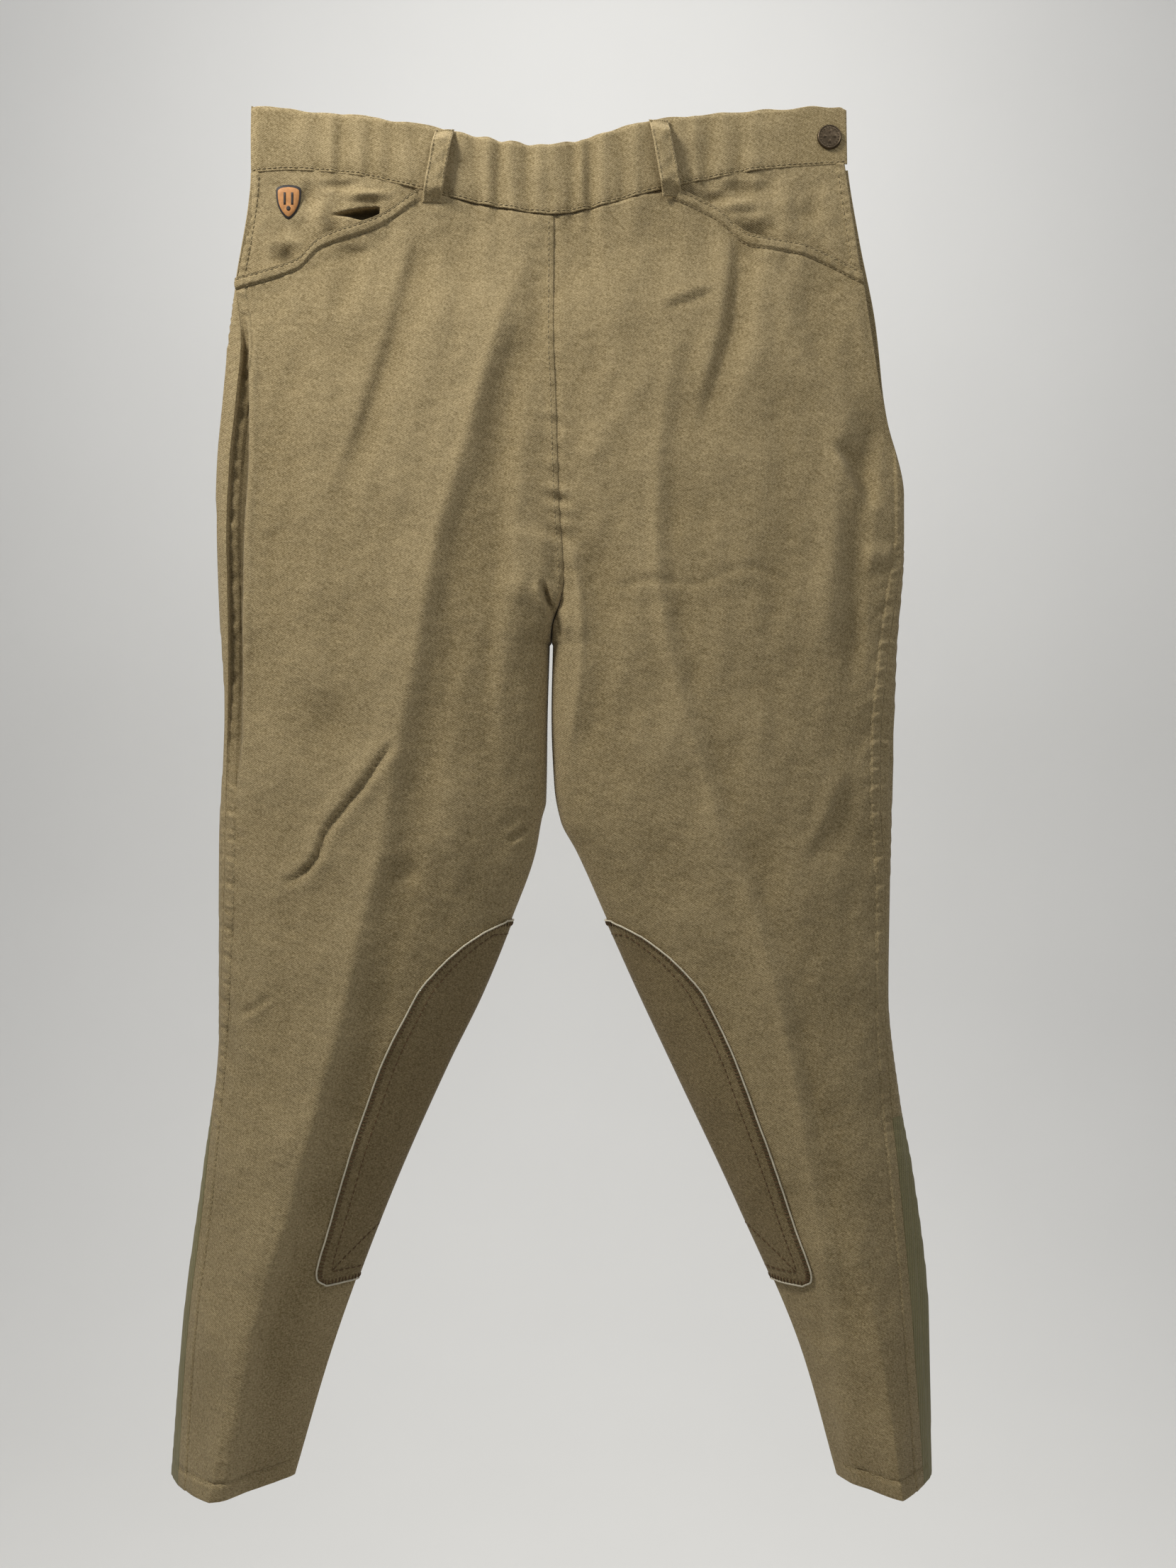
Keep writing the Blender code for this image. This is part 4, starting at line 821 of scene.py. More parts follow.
def front_panel(side, name):
    shares = spread(COLUMNS, 0.75)
    top = np.full(COLUMNS, -0.08)
    for _ in range(12):
        q = across_to_q(top, mix(seam_across(side, top), 1.0, shares))
        top = front_top(side, leg_surface(side, top, q)[0])
    z = column_heights(top)
    q = across_to_q(z, mix(seam_across(side, z), 1.0, shares[None, :]))
    points, height = cloth_points(side, z, q)
    points[..., 1] += scoop_roll(side, points[..., 0], z) + under_waistband(points[..., 0], z)
    away = np.abs(points[..., 0] - centre_x(z))
    lapped = np.where(z > CROTCH_Z, bell(away, 0.0035), 0.0) * smoothstep(z, -0.352, -0.335)
    # The tone follows the folds: painted highlight on ridges, painted shade in hollows.
    tone = tone_of(height)
    if side == RIGHT:
        points[..., 0] += 0.0010 * lapped
        points[..., 1] -= 0.00015 * lapped
        # Painted shade in the recess where the front rolls over the side seam, lighter over the puckers by
        # the seam.
        painted_trough_shade = smoothstep(roll_x(z) - points[..., 0], -0.0006, 0.0016) * fold_depth(z)
        near_seam = bump(points[..., 0] - seam_x[side](z), 0.0030, 0.0060)
        tone = tone - 0.40 * painted_trough_shade * (1 - (0.55 + 0.25 * along_waves(z, 0.014)) * near_seam)
    else:
        points[..., 1] += 0.0004 * lapped
    return cloth(name, points, twill, tone=tone)


def under_waistband(x, z):
    """The panel's top edge dips under the waistband's lower edge."""
    inside = (x > SCOOP_START[RIGHT]) & (x < SCOOP_START[LEFT])
    return np.where(inside, 1.1 * MM * (1 - smoothstep(waist_seam(x) - z, 0.0004, 0.0030)), 0.0)


GAPES = {RIGHT: [(-0.136, 0.024, 2.6)], LEFT: [(0.140, 0.018, 2.0)]}


def scoop_roll(side, x, z):
    """The pocket's edge: doubled cloth between two rows of stitches, standing away where it gapes."""
    below = scoop_z[side](x) - z
    beyond = smoothstep(np.abs(x), abs(SCOOP_START[side]) - 0.002, abs(SCOOP_START[side]) + 0.004)
    welt = 1.3 * smoothstep(0.0086 - below, 0.0, 0.0012) - 0.45 * bell(below - SCOOP_ROWS[0], 0.0007)
    welt = welt - 0.65 * bell(below - SCOOP_ROWS[1], 0.0009)
    welt = welt + 0.50 * along_waves(x * 1.15, 0.0075) * bump(below, 0.0055, 0.0055)
    stand = 1.3 + sum(size * bump(x, middle, half) for middle, half, size in GAPES[side])
    return -(welt + stand * (1 - smoothstep(below, 0.0, 0.022))) * beyond * MM


def back_panel(side, name):
    ends = 150
    shares = spread(ends, 0.55)

    def q_of(z):
        across = seam_across(side, z)
        last = 4 + across_to_q(z, across)
        return mix(2 + 1e-6, np.where(across > 1e-4, last, 4.0), shares)

    top = np.full(ends, -0.06)
    for _ in range(12):
        top = waist_seam(leg_surface(side, top, np.minimum(q_of(top), 4.0))[0])
    z = column_heights(top)
    q = np.stack([q_of(row) for row in z])
    points, height = cloth_points(side, z, q)
    turned = (z[:-1, :-1] < CALF_SEAM_Z) & (q[:-1, :-1] > 3.0)
    # The tone is painted highlight on the ridges of the folds and painted shade in their hollows.
    return cloth(name, points, twill, BACKWARD, tone=tone_of(height), used=~turned)


def calf_panel(side, name):
    z = np.append(np.arange(CALF_SEAM_Z - 0.0005, HEM_Z, -ROW_STEP)[:-1], HEM_Z)[:, None]
    shares = spread(70, 0.5)[None, :]
    last = 4 + across_to_q(z, seam_across(side, z))
    points, _ = cloth_points(side, z + 0 * shares, mix(3.0, last, shares))
    return cloth(name, points, olive_knit, BACKWARD)


# ---------------------------------------------------------------- knee patches
PATCH_TOP_Z, PATCH_BOTTOM_Z = -0.562, -0.808
PATCH_WIDTH = [(-562, 3), (-570, 16.5), (-580, 27), (-595, 37), (-612, 43), (-640, 44), (-700, 39),
               (-770, 31), (-796, 28.5), (-804, 25.5), (-808, 19)]
PATCH_BACK_SHARE = 0.8
patch_width = curve(PATCH_WIDTH)


def patch_q(side, z, share, inset=0.0):
    """q across a knee patch: share -1 is its front edge, 0 the inner edge and +1 its back edge."""
    leg_width = np.abs(outer_edge(side, z, True) - inner_edge(side, z))
    width = np.maximum(patch_width(z) - inset, 0.0)
    front = 2 + share * width / (leg_width * (1 - front_ridge(z)))
    back = 2 + share * PATCH_BACK_SHARE * width / (leg_width * (1 - back_ridge(z)))
    return np.where(share <= 0, front, back)


def patch_surface(side, z, share, inset=0.0, lift=0.0):
    """Points on a knee patch, lifted off the leg."""
    step = 0.0008
    here = cloth_points(side, z, patch_q(side, z, share, inset))[0]
    lower = cloth_points(side, z - step, patch_q(side, z - step, share, inset))[0]
    other = cloth_points(side, z, patch_q(side, z, share, inset) + 0.01)[0]
    normal = unit(np.cross(lower - here, other - here))
    toward = here - xyz(mix(outer_edge(side, z, True), inner_edge(side, z), 0.5), 0 * share, z)
    sign = np.sign((normal * toward).sum(-1, keepdims=True))
    return here + normal * sign * lift, normal * sign


def knee_patch(side, name):
    levels = mix(PATCH_TOP_Z, PATCH_BOTTOM_Z, spread(96, 0.5))[:, None]
    half = spread(26, 0.3)
    shares = np.concatenate([-half[::-1], half[1:]])[None, :]
    levels, shares = np.broadcast_arrays(levels, shares)
    points, _ = patch_surface(side, levels, shares, lift=TWILL)
    tone = 0.22 * bump(np.abs(shares), 1.0, 0.12) - 0.05
    return cloth(name, points, patch_twill, (-side, -0.6, 0), tone=tone)


def patch_outline(side, inset, lift, pitch=0.0012):
    """Points and normals round a knee patch, inset from its edge, starting at the top."""
    top, bottom = PATCH_TOP_Z - inset, PATCH_BOTTOM_Z + inset
    levels = np.linspace(top, bottom, 260)
    across = np.linspace(-1, 1, 60)
    parts = [(levels, -np.ones(260)), (np.full(60, bottom), across), (levels[::-1], np.ones(260)),
             (np.full(60, top), -across)]
    z, share = joined(parts)
    points, normals = patch_surface(side, z, share, inset, lift)
    return resample(points, normals, pitch)


def resample(points, normals, pitch):
    """Points at even spacing along a path, with their normals."""
    length = path_lengths(points)
    count = max(2, int(round(length[-1] / pitch)) + 1)
    at = np.linspace(0, length[-1], count)
    place, turn = (np.stack([np.interp(at, length, values[:, k]) for k in range(3)], axis=1)
                   for values in (points, normals))
    return place, unit(turn)


def edge_stitches(side, name):
    """The brown overcast stitches over a patch's edge."""
    outer, normals = patch_outline(side, 0.0001, TWILL + 0.0004, 0.0026)
    inner, _ = patch_outline(side, 0.0034, TWILL + 0.0003, 0.0004)
    nearest = [np.argmin(np.linalg.norm(inner - point, axis=1)) for point in outer]
    return stitch_mesh(name, outer, inner[nearest], normals, brown_thread, 0.00040)


def inner_rows(side, name):
    """The row of stitches inside a patch's edge, and the slanted row across its lower end."""
    across = patch_surface(side, np.linspace(-0.7980, -0.7680, 60), np.linspace(-0.66, 0.05, 60), 0.0,
                           TWILL + 0.0002)
    rows_of = [dashes(*row, 0.0030, 0.0016) for row in (patch_outline(side, 0.0088, TWILL + 0.0002), across)]
    return stitch_mesh(name, *joined(rows_of), brown_thread, 0.00034)


def dashes(points, normals, length=0.0026, gap=0.0011):
    """Starts, ends and normals of a row of stitches along a path."""
    place, turn = resample(points, normals, (length + gap) / 4)
    step = 4
    reach = max(1, int(round(step * length / (length + gap))))
    starts = np.arange(0, len(place) - reach, step)
    return place[starts], place[starts + reach], turn[starts]


# ---------------------------------------------------------------- rows of topstitching
def front_row(path, lift=0.0001):
    """A row of stitches on the front along (x, z) points."""
    points = front_points(path[:, 0], path[:, 1])
    step = 0.0012
    beside = front_points(path[:, 0] + step, path[:, 1]) - points
    down = front_points(path[:, 0], path[:, 1] - step) - points
    normals = unit(np.cross(beside, down))
    normals *= np.where(normals[:, 1] > 0, -1, 1)[:, None]
    return points + normals * lift, normals


def scoop_row(side, below, count=150):
    """Stitches at a distance below a pocket's edge."""
    start = SCOOP_START[side]
    end = outer_x[RIGHT](-0.119) + 0.001 if side == RIGHT else lap_edge_x(-0.115) - 0.001
    x = np.linspace(start + side * 0.001, end, count)
    path = np.stack([x, scoop_z[side](x) - below], axis=1)
    points, normals = front_row(path)
    points[:, 1] += scoop_roll(side, path[:, 0], path[:, 1]) - 0.00015
    return points, normals


def waist_row(x_low, x_high, above=0.0012, count=240):
    """Stitches along the bottom of the waistband."""
    x = np.linspace(x_low, x_high, count)
    z = waist_seam(x) + above
    y = band_y(x, z) - 0.0003
    return xyz(x, y, z), np.tile(FORWARD, (count, 1))


def facing_side_row(side):
    z = np.linspace(-0.049, -0.116, 60)
    x = outer_edge(side, z, True) - side * 0.0062
    return xyz(x, facing_y(side, x, z) - 0.0002, z), np.tile(FORWARD, (60, 1))


def side_row(side, inboard, z_high, z_low, count=300):
    z = np.linspace(z_high, z_low, count)
    return front_row(np.stack([seam_x[side](z) - side * inboard, z], axis=1))


# ---------------------------------------------------------------- waistband
def band_y(x, z):
    """The outer face of the waistband's front."""
    top, seam = waist_top(x), waist_seam(x)
    down = np.clip((top - z) / (top - seam), 0, 1)
    swell = 0.7 * MM * np.sin(math.pi * down) + 0.25 * MM * undulation(x, z, 0.030, 21)
    stitched = 0.35 * MM * bell(z - seam - 0.0012, 0.0010)
    pucker = 0.40 * MM * along_waves(x, 0.0070) * bell(z - seam, 0.0050)
    upper = 0.9 * MM * (1 - smoothstep(top - z, 0.0, 0.0030))
    press = 1 - 0.9 * bump(x, -0.192, 0.020)
    return -waist_half(x) - (swell + pucker) * press - gathers(x, down) - 0.0004 + stitched + upper


def waistband_front():
    """The front of the waistband with the tab at its end, in one piece."""
    columns, rows = 230, 30
    shares = np.linspace(0, 1, columns)[None, :]
    down = spread(rows, 0.5)[:, None]
    x = np.zeros((rows, columns)) + mix(BAND_START_X, 0.2030, shares)
    z = np.zeros((rows, columns))
    for _ in range(6):
        top = waist_top(x) - 0.0030 * smoothstep(x, 0.1955, 0.2020) ** 2
        z = mix(top, waist_seam(x) - 0.0009, down)
        x = mix(BAND_START_X, BAND_END_X + 0.0006 * down, shares)
    z = z + 0.45 * MM * undulation(x, 0 * x, 0.02, 22) * (1 - down)
    y = band_y(x, z)
    y = mix(y, -LAP_HALF - 0.0002, smoothstep(x, 0.160, 0.172))
    # Painted highlight along the band's rounded top and bottom edges, and painted shade and highlight on the
    # gathers.
    painted_edge_highlight = 0.30 * bump(down, 0.0, 0.12) + 0.15 * bump(down, 1, 0.06)
    tone = tone_of(-3 * (y + waist_half(x)) - 0.003) + painted_edge_highlight
    return cloth("waistband_front_cloth", xyz(x, y, z), band_twill, tone=tone)


def waistband_back():
    columns, rows = 200, 24
    x = np.linspace(BAND_START_X, 0.2015, columns)[None, :] + np.zeros((rows, 1))
    down = spread(rows, 0.5)[:, None]
    z = mix(waist_top(x), waist_seam(x) + 0.0003, down)
    press = 1 - 0.9 * bump(x, -0.192, 0.020)
    y = waist_half(x) + (0.5 * MM * np.sin(math.pi * down) + gathers(-x) * 0.7) * press + 0.0002
    y = y - 0.40 * MM * bell(z - waist_seam(x) - 0.0016, 0.0008)
    # The tone is painted shade in the grooves of the gathers and painted highlight on their ridges.
    return cloth("waistband_back_cloth", xyz(x, y, z), band_twill, BACKWARD, 0.0014,
                 tone=tone_of(y - waist_half(x) - 0.001))


def band_lining(name, front, x_high):
    columns, rows = 140, 14
    x = np.linspace(-0.2010, x_high, columns)[None, :] + np.zeros((rows, 1))
    down = np.linspace(0, 1, rows)[:, None]
    z = mix(waist_top(x) - 0.0012, waist_seam(x) + 0.0018, down)
    sign = -1 if front else 1
    depth = waist_half(x) - 0.0017 + (gathers(x) if front else gathers(-x)) * 0.6 - 0.1 * MM
    depth = np.maximum(depth, 0.0005)
    points = xyz(x, sign * depth, z)
    return cloth(name, points, lining_cotton, (0, sign, 0), 0.0007)


def underlap():
    """The back waistband's end, turned round the side to lie behind the tab."""
    low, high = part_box("waistband_underlap")
    face, right, middle = low.y, high.x, high.y
    radius = 0.0036
    path = [(mix(low.x, right - radius, s), face) for s in np.linspace(0, 1, 24)]
    for k in range(1, 13):
        angle = -math.pi / 2 + math.pi / 2 * k / 12
        path.append((right - radius + radius * math.cos(angle), face + radius + radius * math.sin(angle)))
    path += [(right, mix(face + radius, middle, s)) for s in (0.5, 1.0)]
    path = np.array(path)
    z = np.linspace(high.z, low.z, 22)
    points = xyz(path[None, :, 0], path[None, :, 1], z[:, None])
    return cloth("waistband_underlap_cloth", points, band_twill, (0.3, -1, 0), 0.0018)


# ---------------------------------------------------------------- pockets
# In mm: the middle as x and z, half the width and half the height, and the depth (below 0 for a swell).
HOLLOWS = {
    RIGHT: [(-182, -103, 16, 10, 3.52), (-160, -78, 9, 18, -2.56),
            (-168, -60, 7, 14, 1.92), (-128, -63.5, 22, 5, -2.88),
            (-146, -56, 22, 5, 1.6), (-150, -88, 8, 12, 2.56)],
    LEFT: [(134, -60, 28, 8, 2.24), (112, -66, 14, 7, 2.24),
           (160, -75, 10, 20, -2.24), (178, -70, 10, 20, 1.44),
           (130, -70, 20, 6, -1.92)],
}


# The upper and lower edge of the slit where the pocket on the wearer's right hangs open, as (x, z).
cave_top = curve([(-156, -75.7), (-147.5, -74.2), (-133.7, -72.2), (-117, -71.2)])
cave_floor = curve([(-156, -76), (-145, -77.2), (-132, -79.8), (-117, -82)])


def facing_y(side, x, z):
    """The pocket facing hangs a little behind the front, with hollows."""
    _, y = leg_surface(side, z, front_q(side, x, z))
    top, scoop = waist_seam(x), scoop_z[side](x)
    down = np.clip((top - z) / np.maximum(top - scoop, 0.004), 0.0, 1.0)
    drop = down * (TWILL + GAP) + 0.15 * MM
    hollow = sum(size * MM * bump(x / MM, middle_x, half_x) * bump(z / MM, middle_z, half_z)
                 for middle_x, middle_z, half_x, half_z, size in HOLLOWS[side])
    ripple = (0.35 * undulation(x, z, 0.026, 31) + 0.08 * undulation(x, z, 0.011, 32)) * MM
    gather = -0.5 * gathers(x, 1.0) * np.exp(-(top - z) / 0.012)
    if side == RIGHT:
        inside = smoothstep(cave_top(x) - z, -0.0004, 0.0020) * smoothstep(z - cave_floor(x), -0.0010, 0.0022)
        cave = (3.5 + 5.0 * smoothstep(x, -0.150, -0.128)) * inside * smoothstep(x, -0.1560, -0.1480)
        cave = cave * (1 - smoothstep(x, -0.1215, -0.1180))
    else:
        cave = 3.4 * bump(x, 0.1400, 0.0190) * smoothstep(-0.0770 - z, 0.0, 0.0110)
    from_side = np.abs(x - outer_edge(side, z, True))
    hem = 0.55 * smoothstep(0.0066 - from_side, 0.0, 0.0010) + 0.45 * along_waves(z, 0.0062) * bump(
        from_side, 0.0045, 0.0050)
    room = smoothstep(from_side, 0.0, 0.012)
    soft = (hollow + ripple + cave * MM) * room * smoothstep(down, 0.0, 0.20) + gather
    return np.minimum(y + drop + soft - hem * smoothstep(from_side, 0.0, 0.001) * MM, 0.0012)


def pocket_facing(side, name):
    columns, rows = 110, 64
    below = 0.013
    shares = spread(columns, 0.3)[None, :]
    down = np.linspace(0, 1, rows)[:, None]
    start = SCOOP_START[side] - side * 0.003
    z = np.full((rows, columns), -0.08)
    for _ in range(10):
        edge = outer_edge(side, z, True) - side * 0.0002
        x = mix(edge, start, shares)
        top = waist_seam(x) - 0.0002
        z = mix(top, np.minimum(scoop_z[side](x), top) - below, down)
    points = xyz(x, facing_y(side, x, z), z)
    # Painted shade: the facing's tone darkens the deeper it lies behind the front, darkest in the open
    # pocket.
    deep = points[..., 1] - leg_surface(side, z, front_q(side, x, z))[1] - 0.0015
    tone = np.clip(-deep / (5 * MM), -1.0, 0.15)
    return cloth(name, points, twill, tone=tone)


def pocket_bag(side, name):
    """The pouch behind the pocket: a soft flat bag with a rounded bottom."""
    low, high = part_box(("right" if side == RIGHT else "left") + "_pocket_bag")
    columns, rows, corner = 60, 40, 0.020
    around = np.linspace(0, 1, columns)
    x = low.x + (high.x - low.x) * (0.5 - 0.5 * np.cos(2 * math.pi * around))
    near = around <= 0.5
    down = np.linspace(0, 1, rows)[:, None]
    top = np.minimum(scoop_z[side](x), -0.060) - 0.0175
    from_side = np.minimum(x - low.x, high.x - x)
    curve = corner - np.sqrt(np.maximum(corner ** 2 - np.maximum(corner - from_side, 0) ** 2, 0))
    z = mix(top[None, :], (low.z + curve)[None, :], down)
    front_y = cloth_points(side, z, front_q(side, x[None, :] + 0 * z, z))[0][..., 1]
    middle = high.y - 0.0004
    swell = (1 - smoothstep(down, 0.86, 1.0)) * smoothstep(from_side, 0.0, 0.010)[None, :]
    y_near = mix(middle - 0.0010, np.minimum(front_y + TWILL + 0.0026, middle - 0.0010), swell)
    y = np.where(near[None, :], y_near, middle + 0 * y_near)
    return cloth(name, xyz(x, y, z), lining_cotton, FORWARD, 0.0005)


# ---------------------------------------------------------------- belt loops
def belt_loop(name, top_x, bottom_x, front):
    """A folded strip over the waistband with turned-under ends and two rows of stitches."""
    width, bow, rows, columns = 0.0130, 0.0052, 46, 12
    top_z, bottom_z = waist_top(top_x) - 0.0015, waist_seam(bottom_x) - 0.0085
    down = spread(rows, 0.6)[:, None]
    across = (np.linspace(-0.5, 0.5, columns) * width)[None, :]
    x = mix(top_x, bottom_x, down) + across
    z = mix(top_z, bottom_z, down) + 0 * across
    surface = np.maximum(waist_half(x - 0.004), waist_half(x + 0.004))
    arch = smoothstep(np.minimum(1.0, 2.6 * np.minimum(down, 1 - down) / 0.5), 0.0, 1.0)
    dip = 0.35 * MM * (bell(np.abs(across) - width * 0.34, 0.0009))
    ripple = 0.25 * MM * undulation(x, z, 0.012, 41)
    depth = surface + 2 * GAP + bow * arch + TWILL + 0.0004 - dip + ripple
    sign = -1 if front else 1
    points = xyz(x, sign * depth, z)
    piece = cloth(name + "_cloth", points, band_twill, (0, sign, 0), 0.0016,
                  tone=0.20 * bump(np.abs(across) + 0 * down, width / 2, 0.002) + 0.10)
    outward = (0.0, float(sign), 0.0)
    lifted = points + np.array(outward) * 0.0001
    sewn = [(lifted[:, k], 0.0022, 0.0010) for k in (1, columns - 2)]
    sewn += [(lifted[k], 0.0011, 0.0003) for k in (2, rows - 3)]
    sewn = [dashes(path, np.tile(outward, (len(path), 1)), *sizes) for path, *sizes in sewn]
    return piece, stitch_mesh(name + "_stitches", *joined(sewn), tan_thread, 0.00022)


# ---------------------------------------------------------------- snap, badge and zip
def turned(name, profile, centre, material, sides=96, relief=None):
    """A solid of revolution about the Y direction.  profile is a closed loop of (radius, y)."""
    angle = np.linspace(0, 2 * math.pi, sides, endpoint=False)
    verts, faces, rings = [], [], []
    for radius, y in profile:
        if radius < 1e-6:
            rings.append([len(verts)] * sides)
            verts.append((centre[0], y, centre[1]))
            continue
        rings.append(list(range(len(verts), len(verts) + sides)))
        for a in angle:
            x, z = radius * math.cos(a), radius * math.sin(a)
            verts.append((centre[0] + x, y - (relief(x, z) if relief else 0.0), centre[1] + z))
    for ring, following in zip(rings, rings[1:] + rings[:1]):
        for k in range(sides):
            m = (k + 1) % sides
            corners = list(dict.fromkeys((ring[k], ring[m], following[m], following[k])))
            if len(corners) > 2:
                faces.append(tuple(corners))
    return new_object(name, np.array(verts), faces, material)


def snap_cap():
    """A domed cap with a raised rim, a beaded ring and a plain eight-petal rosette."""
    low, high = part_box("snap_cap")
    centre = ((low.x + high.x) / 2, (low.z + high.z) / 2)
    back, face = high.y, low.y

    def relief(x, z):
        radius, angle = math.hypot(x, z), math.atan2(z, x)
        petal = max(0.0, math.cos(4 * angle)) ** 2 * float(bump(radius, 0.0034, 0.0018))
        bead = max(0.0, math.cos(20 * angle)) * float(bump(radius, 0.0062, 0.0007))
        return 0.00032 * petal + 0.00022 * bead

    profile = [(0.0, back), (CAP_RADIUS, back), (CAP_RADIUS, back - 0.0008),
               (CAP_RADIUS - 0.0002, face + 0.0008), (CAP_RADIUS - 0.0006, face + 0.0003),
               (CAP_RADIUS - 0.0011, face + 0.0003)]
    profile += [(r * MM, face + 0.0006 - 0.0004 * (1 - r / 7.0)) for r in np.linspace(7.0, 0.3, 30)]
    profile.append((0.0, face + 0.0002))
    return turned("snap_cap_metal", profile, centre, bronze, relief=relief)


def badge_outline(scale=1.0, count=14):
    """A shield: a nearly flat top with rounded shoulders, and sides that curve in to a point."""
    right = [(0.0, 1.0), (0.50, 0.96), (0.86, 0.86), (1.0, 0.70), (0.98, 0.25), (0.86, -0.20), (0.58, -0.62),
             (0.25, -0.90), (0.0, -1.0)]
    path = smooth_path(right, count)
    return np.vstack([path, path[-2:0:-1] * [-1, 1]]) * scale


def badge_piece(name, scale, low_lift, high_lift, material, shape=None):
    """A raised layer of the badge, lying on the pocket facing."""
    low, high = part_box("hip_badge")
    centre, half = (low + high) / 2, (high - low) / 2
    outline = badge_outline(scale) if shape is None else shape
    flat = outline * [half.x * 0.98, half.z * 0.98]
    rings = [(0.97, low_lift), (1.0, mix(low_lift, high_lift, 0.5)), (0.95, high_lift),
             (0.6, high_lift + 0.0001), (0.25, high_lift + 0.0001)]
    inner = flat.mean(0)
    verts = []
    for share, lift in rings:
        spots = inner + (flat - inner) * share
        x, z = centre.x + spots[:, 0], centre.z + spots[:, 1]
        verts.append(np.stack([x, badge_face(x, z) - lift, z], axis=1))
    count = len(flat)
    middle = np.array([[centre.x + inner[0], 0, centre.z + inner[1]]])
    middle[0, 1] = badge_face(middle[0, 0], middle[0, 2]) - high_lift - 0.0001
    back = middle.copy()
    back[0, 1] += high_lift - low_lift
    faces = ring_faces(len(rings), count, capped=False)
    last = (len(rings) - 1) * count
    faces += [(last + k, last + (k + 1) % count, len(rings) * count) for k in range(count)]
    faces += [((k + 1) % count, k, len(rings) * count + 1) for k in range(count)]
    return new_object(name, np.vstack(verts + [middle, back]), faces, material)


def badge_face(x, z):
    low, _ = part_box("hip_badge")
    return low.y + 0.0011 + 0.02 * (x - low.x) + 0 * z


def hip_badge():
    """A leather shield with a black edge and a plain mark of two bars and a dot."""
    pieces = [badge_piece("badge_edge", 1.0, 0.0, 0.0008, badge_black),
              badge_piece("badge_face", 0.86, 0.0004, 0.0011, badge_leather)]
    for k, across in enumerate((-0.30, 0.30)):
        bar = np.array([(-0.09, 0.42), (0.09, 0.42), (0.09, -0.30), (-0.09, -0.30)]) + [across, 0.12]
        pieces.append(badge_piece(f"badge_bar_{k}", 1.0, 0.0010, 0.0014, badge_black, shape=refine(bar)))
    dot = [(0.17 * math.cos(a), 0.14 * math.sin(a) - 0.38) for a in np.linspace(0, 2 * math.pi, 24)[:-1]]
    pieces.append(badge_piece("badge_dot", 1.0, 0.0010, 0.0014, badge_black, shape=np.array(dot)[::-1]))
    return pieces


def refine(outline, steps=5):
    out = []
    for a, b in zip(outline, np.roll(outline, -1, axis=0)):
        out += [mix(a, b, s) for s in np.arange(steps) / steps]
    return np.array(out)


# ---------------------------------------------------------------- the zip's cloth
ZIP_TOP_Z, ZIP_LENGTH, ZIP_INBOARD = -0.0470, 0.131, 0.0080
ZIP_DOWN = np.array([LAP_SLOPE, 0.0, -1.0]) / math.hypot(LAP_SLOPE, 1.0)
ZIP_OUT = np.array([1.0, 0.0, LAP_SLOPE]) / math.hypot(LAP_SLOPE, 1.0)
ZIP_ORIGIN = np.array([lap_edge_x(ZIP_TOP_Z) - ZIP_INBOARD, 0.0, ZIP_TOP_Z])


def zip_cloth(name, section, material, thickness):
    """A strip beside the zip.  section is its cross-section as (across, out) points in millimetres."""
    across, out = (smooth_path(section, 4) * MM).T
    along = np.linspace(0.0, ZIP_LENGTH, 90)[:, None, None]
    wave = 0.00012 * np.sin(along * 420.0)
    grid = ZIP_ORIGIN + ZIP_DOWN * along + ZIP_OUT * (out[None, :, None] + wave)
    grid = grid + xyz(0.0, across, 0.0)[None]
    return cloth(name, grid, material, tuple(ZIP_OUT), thickness)


# ---------------------------------------------------------------- build
slots = {part["node"]: part["material_slot"] for part in frame["record"]["subparts"]}


def place(name, piece, *nodes, body="garment", slot=None):
    """Put a piece on a body in place of its CAD nodes.  body None, for pieces across the opening corner's
    fold: the transform is baked into the mesh and the piece goes on no body.
    """
    if body:
        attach(piece, body)
    else:
        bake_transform(piece)
    if nodes:
        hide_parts(*nodes)


for side, word in ((RIGHT, "right"), (LEFT, "left")):
    body = "garment" if side == RIGHT else None
    corners = ([], []) if side == RIGHT else (["placket_panel_corner"], ["placket_facing_corner"])
    front, facing = front_panel(side, word + "_front_cloth"), pocket_facing(side, word + "_facing_cloth")
    place(word + "_front", front, word + "_front_panel", *corners[0], body=body)
    place(word + "_facing", facing, word + "_pocket_facing", *corners[1], body=body)
    place(word + "_back", back_panel(side, word + "_back_cloth"), word + "_back_panel")
    place(word + "_calf", calf_panel(side, word + "_calf_cloth"), word + "_calf_panel")
    place(word + "_patch", knee_patch(side, word + "_patch_cloth"), word + "_knee_patch")
    cord = tube(word + "_edging_cord", patch_outline(side, -0.0005, TWILL + 0.0002)[0], 0.00062, edging, 8)
    place(word + "_edging", cord, word + "_patch_edging")
    place(word + "_overcast", edge_stitches(side, word + "_patch_overcast"))
    place(word + "_patch_row", inner_rows(side, word + "_patch_inner_rows"))
    place(word + "_bag", pocket_bag(side, word + "_bag_cloth"), word + "_pocket_bag")

place("waist_front", waistband_front(), "waistband_front", "waist_tab", body=None)
place("waist_back", waistband_back(), "waistband_back")
for end, in_front, x_high in (("front", True, 0.1510), ("back", False, 0.1940)):
    lining = band_lining(f"waistband_{end}_lining_cloth", in_front, x_high)
    place(end + "_lining", lining, f"waistband_{end}_lining")
place("underlap", underlap(), "waistband_underlap")

for loop_name, top_x, bottom_x, in_front in (
        ("belt_loop_right_front", -0.0735, -0.0825, True), ("belt_loop_left_front", 0.0725, 0.0820, True),
        ("belt_loop_right_back", -0.1300, -0.1340, False), ("belt_loop_centre_back", -0.0020, -0.0020, False),
        ("belt_loop_left_back", 0.1240, 0.1280, False)):
    strip, seams = belt_loop(loop_name, top_x, bottom_x, in_front)
    place(loop_name, strip, loop_name)
    place(loop_name + "_stitches", seams)

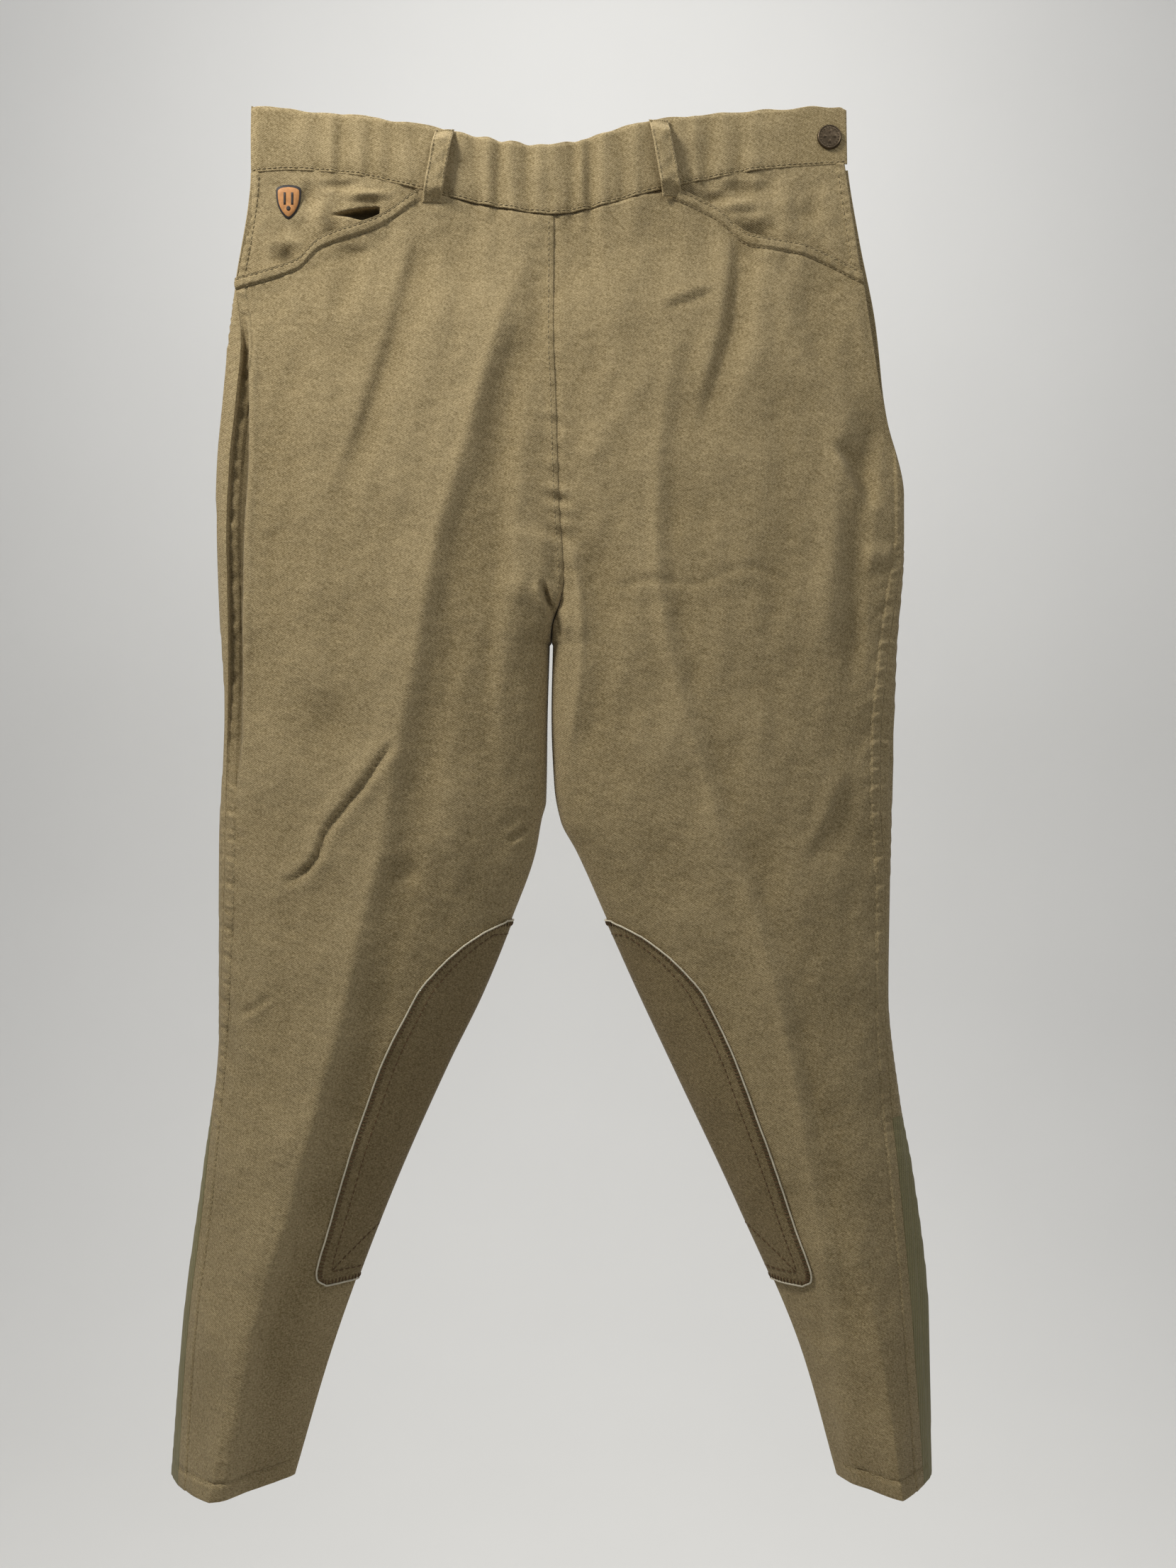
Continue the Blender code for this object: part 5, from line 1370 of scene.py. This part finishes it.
rows = [facing_side_row(RIGHT), *(scoop_row(RIGHT, below) for below in SCOOP_ROWS),
        waist_row(-0.2075, 0.1500), side_row(RIGHT, SIDE_ROW, -0.500, -0.938),
        side_row(LEFT, SIDE_ROW, -0.330, -0.938)]
for side in (RIGHT, LEFT):
    x = np.linspace(float(seam_x[side](HEM_Z)), float(inner_x[side](HEM_Z)) + side * 0.004, 60)
    rows.append(front_row(np.stack([x, np.full(60, HEM_Z + HEM_ROW)], axis=1)))
centre = np.linspace(-0.082, -0.345, 160)
rows.append(front_row(np.stack([centre_x(centre) - 0.0028, centre], axis=1)))
sewn = joined(dashes(*row) for row in rows)
place("topstitching", stitch_mesh("topstitching", *sewn, tan_thread))
corner_rows = [facing_side_row(LEFT), *(scoop_row(LEFT, below) for below in SCOOP_ROWS),
               waist_row(0.1500, 0.2005, count=60)]
sewn = joined(dashes(*row) for row in corner_rows)
place("corner_topstitching", stitch_mesh("corner_topstitching", *sewn, tan_thread), body=None)

place("snap_cap", snap_cap(), "snap_cap", body="opening_corner")
for k, piece in enumerate(hip_badge()):
    place(f"badge_{k}", piece, *(["hip_badge"] if k == 0 else []), slot="badge_leather")

for end, hand in (("front", -1), ("back", 1)):
    section = [(hand * 2.1, 0), (hand * 3.2, 0), (hand * 4.4, -0.4), (hand * 5.1, -1.6), (hand * 5.2, -5.0),
               (hand * 5.2, -9.0)]
    place("tape_" + end, zip_cloth(f"zip_tape_{end}_cloth", section, tape_cloth, 0.0005), "zip_tape_" + end)
section = [(3.8, -3.1), (0.0, -3.0), (-3.2, -3.1), (-4.3, -3.8), (-4.5, -6.0), (-4.5, -10.0)]
place("shield", zip_cloth("zip_shield_cloth", section, lining_cotton, 0.0006), "zip_shield")

FINISHES = {"snap_metal": bronze, "zip_metal": brass}
for node in ("snap_socket", "snap_stud", "snap_post", "zip_teeth_front", "zip_teeth_back",
             "zip_top_stop_front", "zip_top_stop_back", "zip_bottom_stop", "zip_slider_body", "zip_pull"):
    known = frame["nodes"][node]
    for used_slot in (bpy.data.objects[known] if isinstance(known, str) else known).material_slots:
        used_slot.material = FINISHES[slots[node]]

# ---------------------------------------------------------------- stage
STAGE_FLOOR_Z, STAGE_BACK_Y, SWEEP = -1.90, 3.60, 1.60
profile = [(-5.0, STAGE_FLOOR_Z)]
for k in range(25):
    angle = math.pi / 2 * k / 24
    profile.append((STAGE_BACK_Y - SWEEP + SWEEP * math.sin(angle),
                    STAGE_FLOOR_Z + SWEEP - SWEEP * math.cos(angle)))
profile.append((STAGE_BACK_Y, 4.0))
stage_verts = np.array([(x, y, z) for x in (-7.0, 7.0) for y, z in profile])
stage_faces = [(k, k + 1, len(profile) + k + 1, len(profile) + k) for k in range(len(profile) - 1)]
stage = new_object("studio_sweep", stage_verts, stage_faces, plain_material("pale_sweep", (0.78, 0.77, 0.74)))


def area_light(name, place_at, aim, size, power, colour=(1.0, 1.0, 1.0)):
    data = bpy.data.lights.new(name, "AREA")
    data.shape, data.size, data.energy, data.color = "DISK", size, power, colour
    light = add_object(name, data)
    x, y, z = (a - b for a, b in zip(aim, place_at))
    light.location = place_at
    light.rotation_euler = (math.atan2(math.hypot(x, y), -z), 0.0, math.atan2(x, -y) + math.pi)


area_light("key", (-0.78, -0.54, 0.72), (0.0, 0.0, 0.0), 0.32, 19.5, (1.0, 0.985, 0.95))
area_light("fill", (0.80, -1.00, 1.00), (0.0, 0.0, 0.0), 1.10, 9.6, (0.96, 0.98, 1.0))
area_light("wall_wash", (0.0, 0.6, 2.4), (0.0, 3.6, -0.6), 1.20, 86.0)
area_light("back_fill", (0.30, 2.40, 0.90), (0.0, 0.0, -0.45), 1.60, 14.0)
world = bpy.data.worlds.new("studio_air")
world.use_nodes = True
air = world.node_tree.nodes["Background"].inputs
air["Color"].default_value, air["Strength"].default_value = (0.92, 0.94, 1.0, 1.0), 0.18
bpy.context.scene.world = world
bpy.context.scene.view_settings.view_transform = "Standard"

CAMERA_AWAY, VIEW_HEIGHT = 1.05, 1.084
lens = bpy.data.cameras.new("front_view")
lens.sensor_fit, lens.sensor_height = "VERTICAL", 36.0
lens.lens = lens.sensor_height * CAMERA_AWAY / VIEW_HEIGHT
camera = add_object("front_view", lens)
camera.location = (0.0243, -CAMERA_AWAY, -0.468)
camera.rotation_euler = (math.pi / 2, 0.0, 0.0)
bpy.context.scene.camera = camera
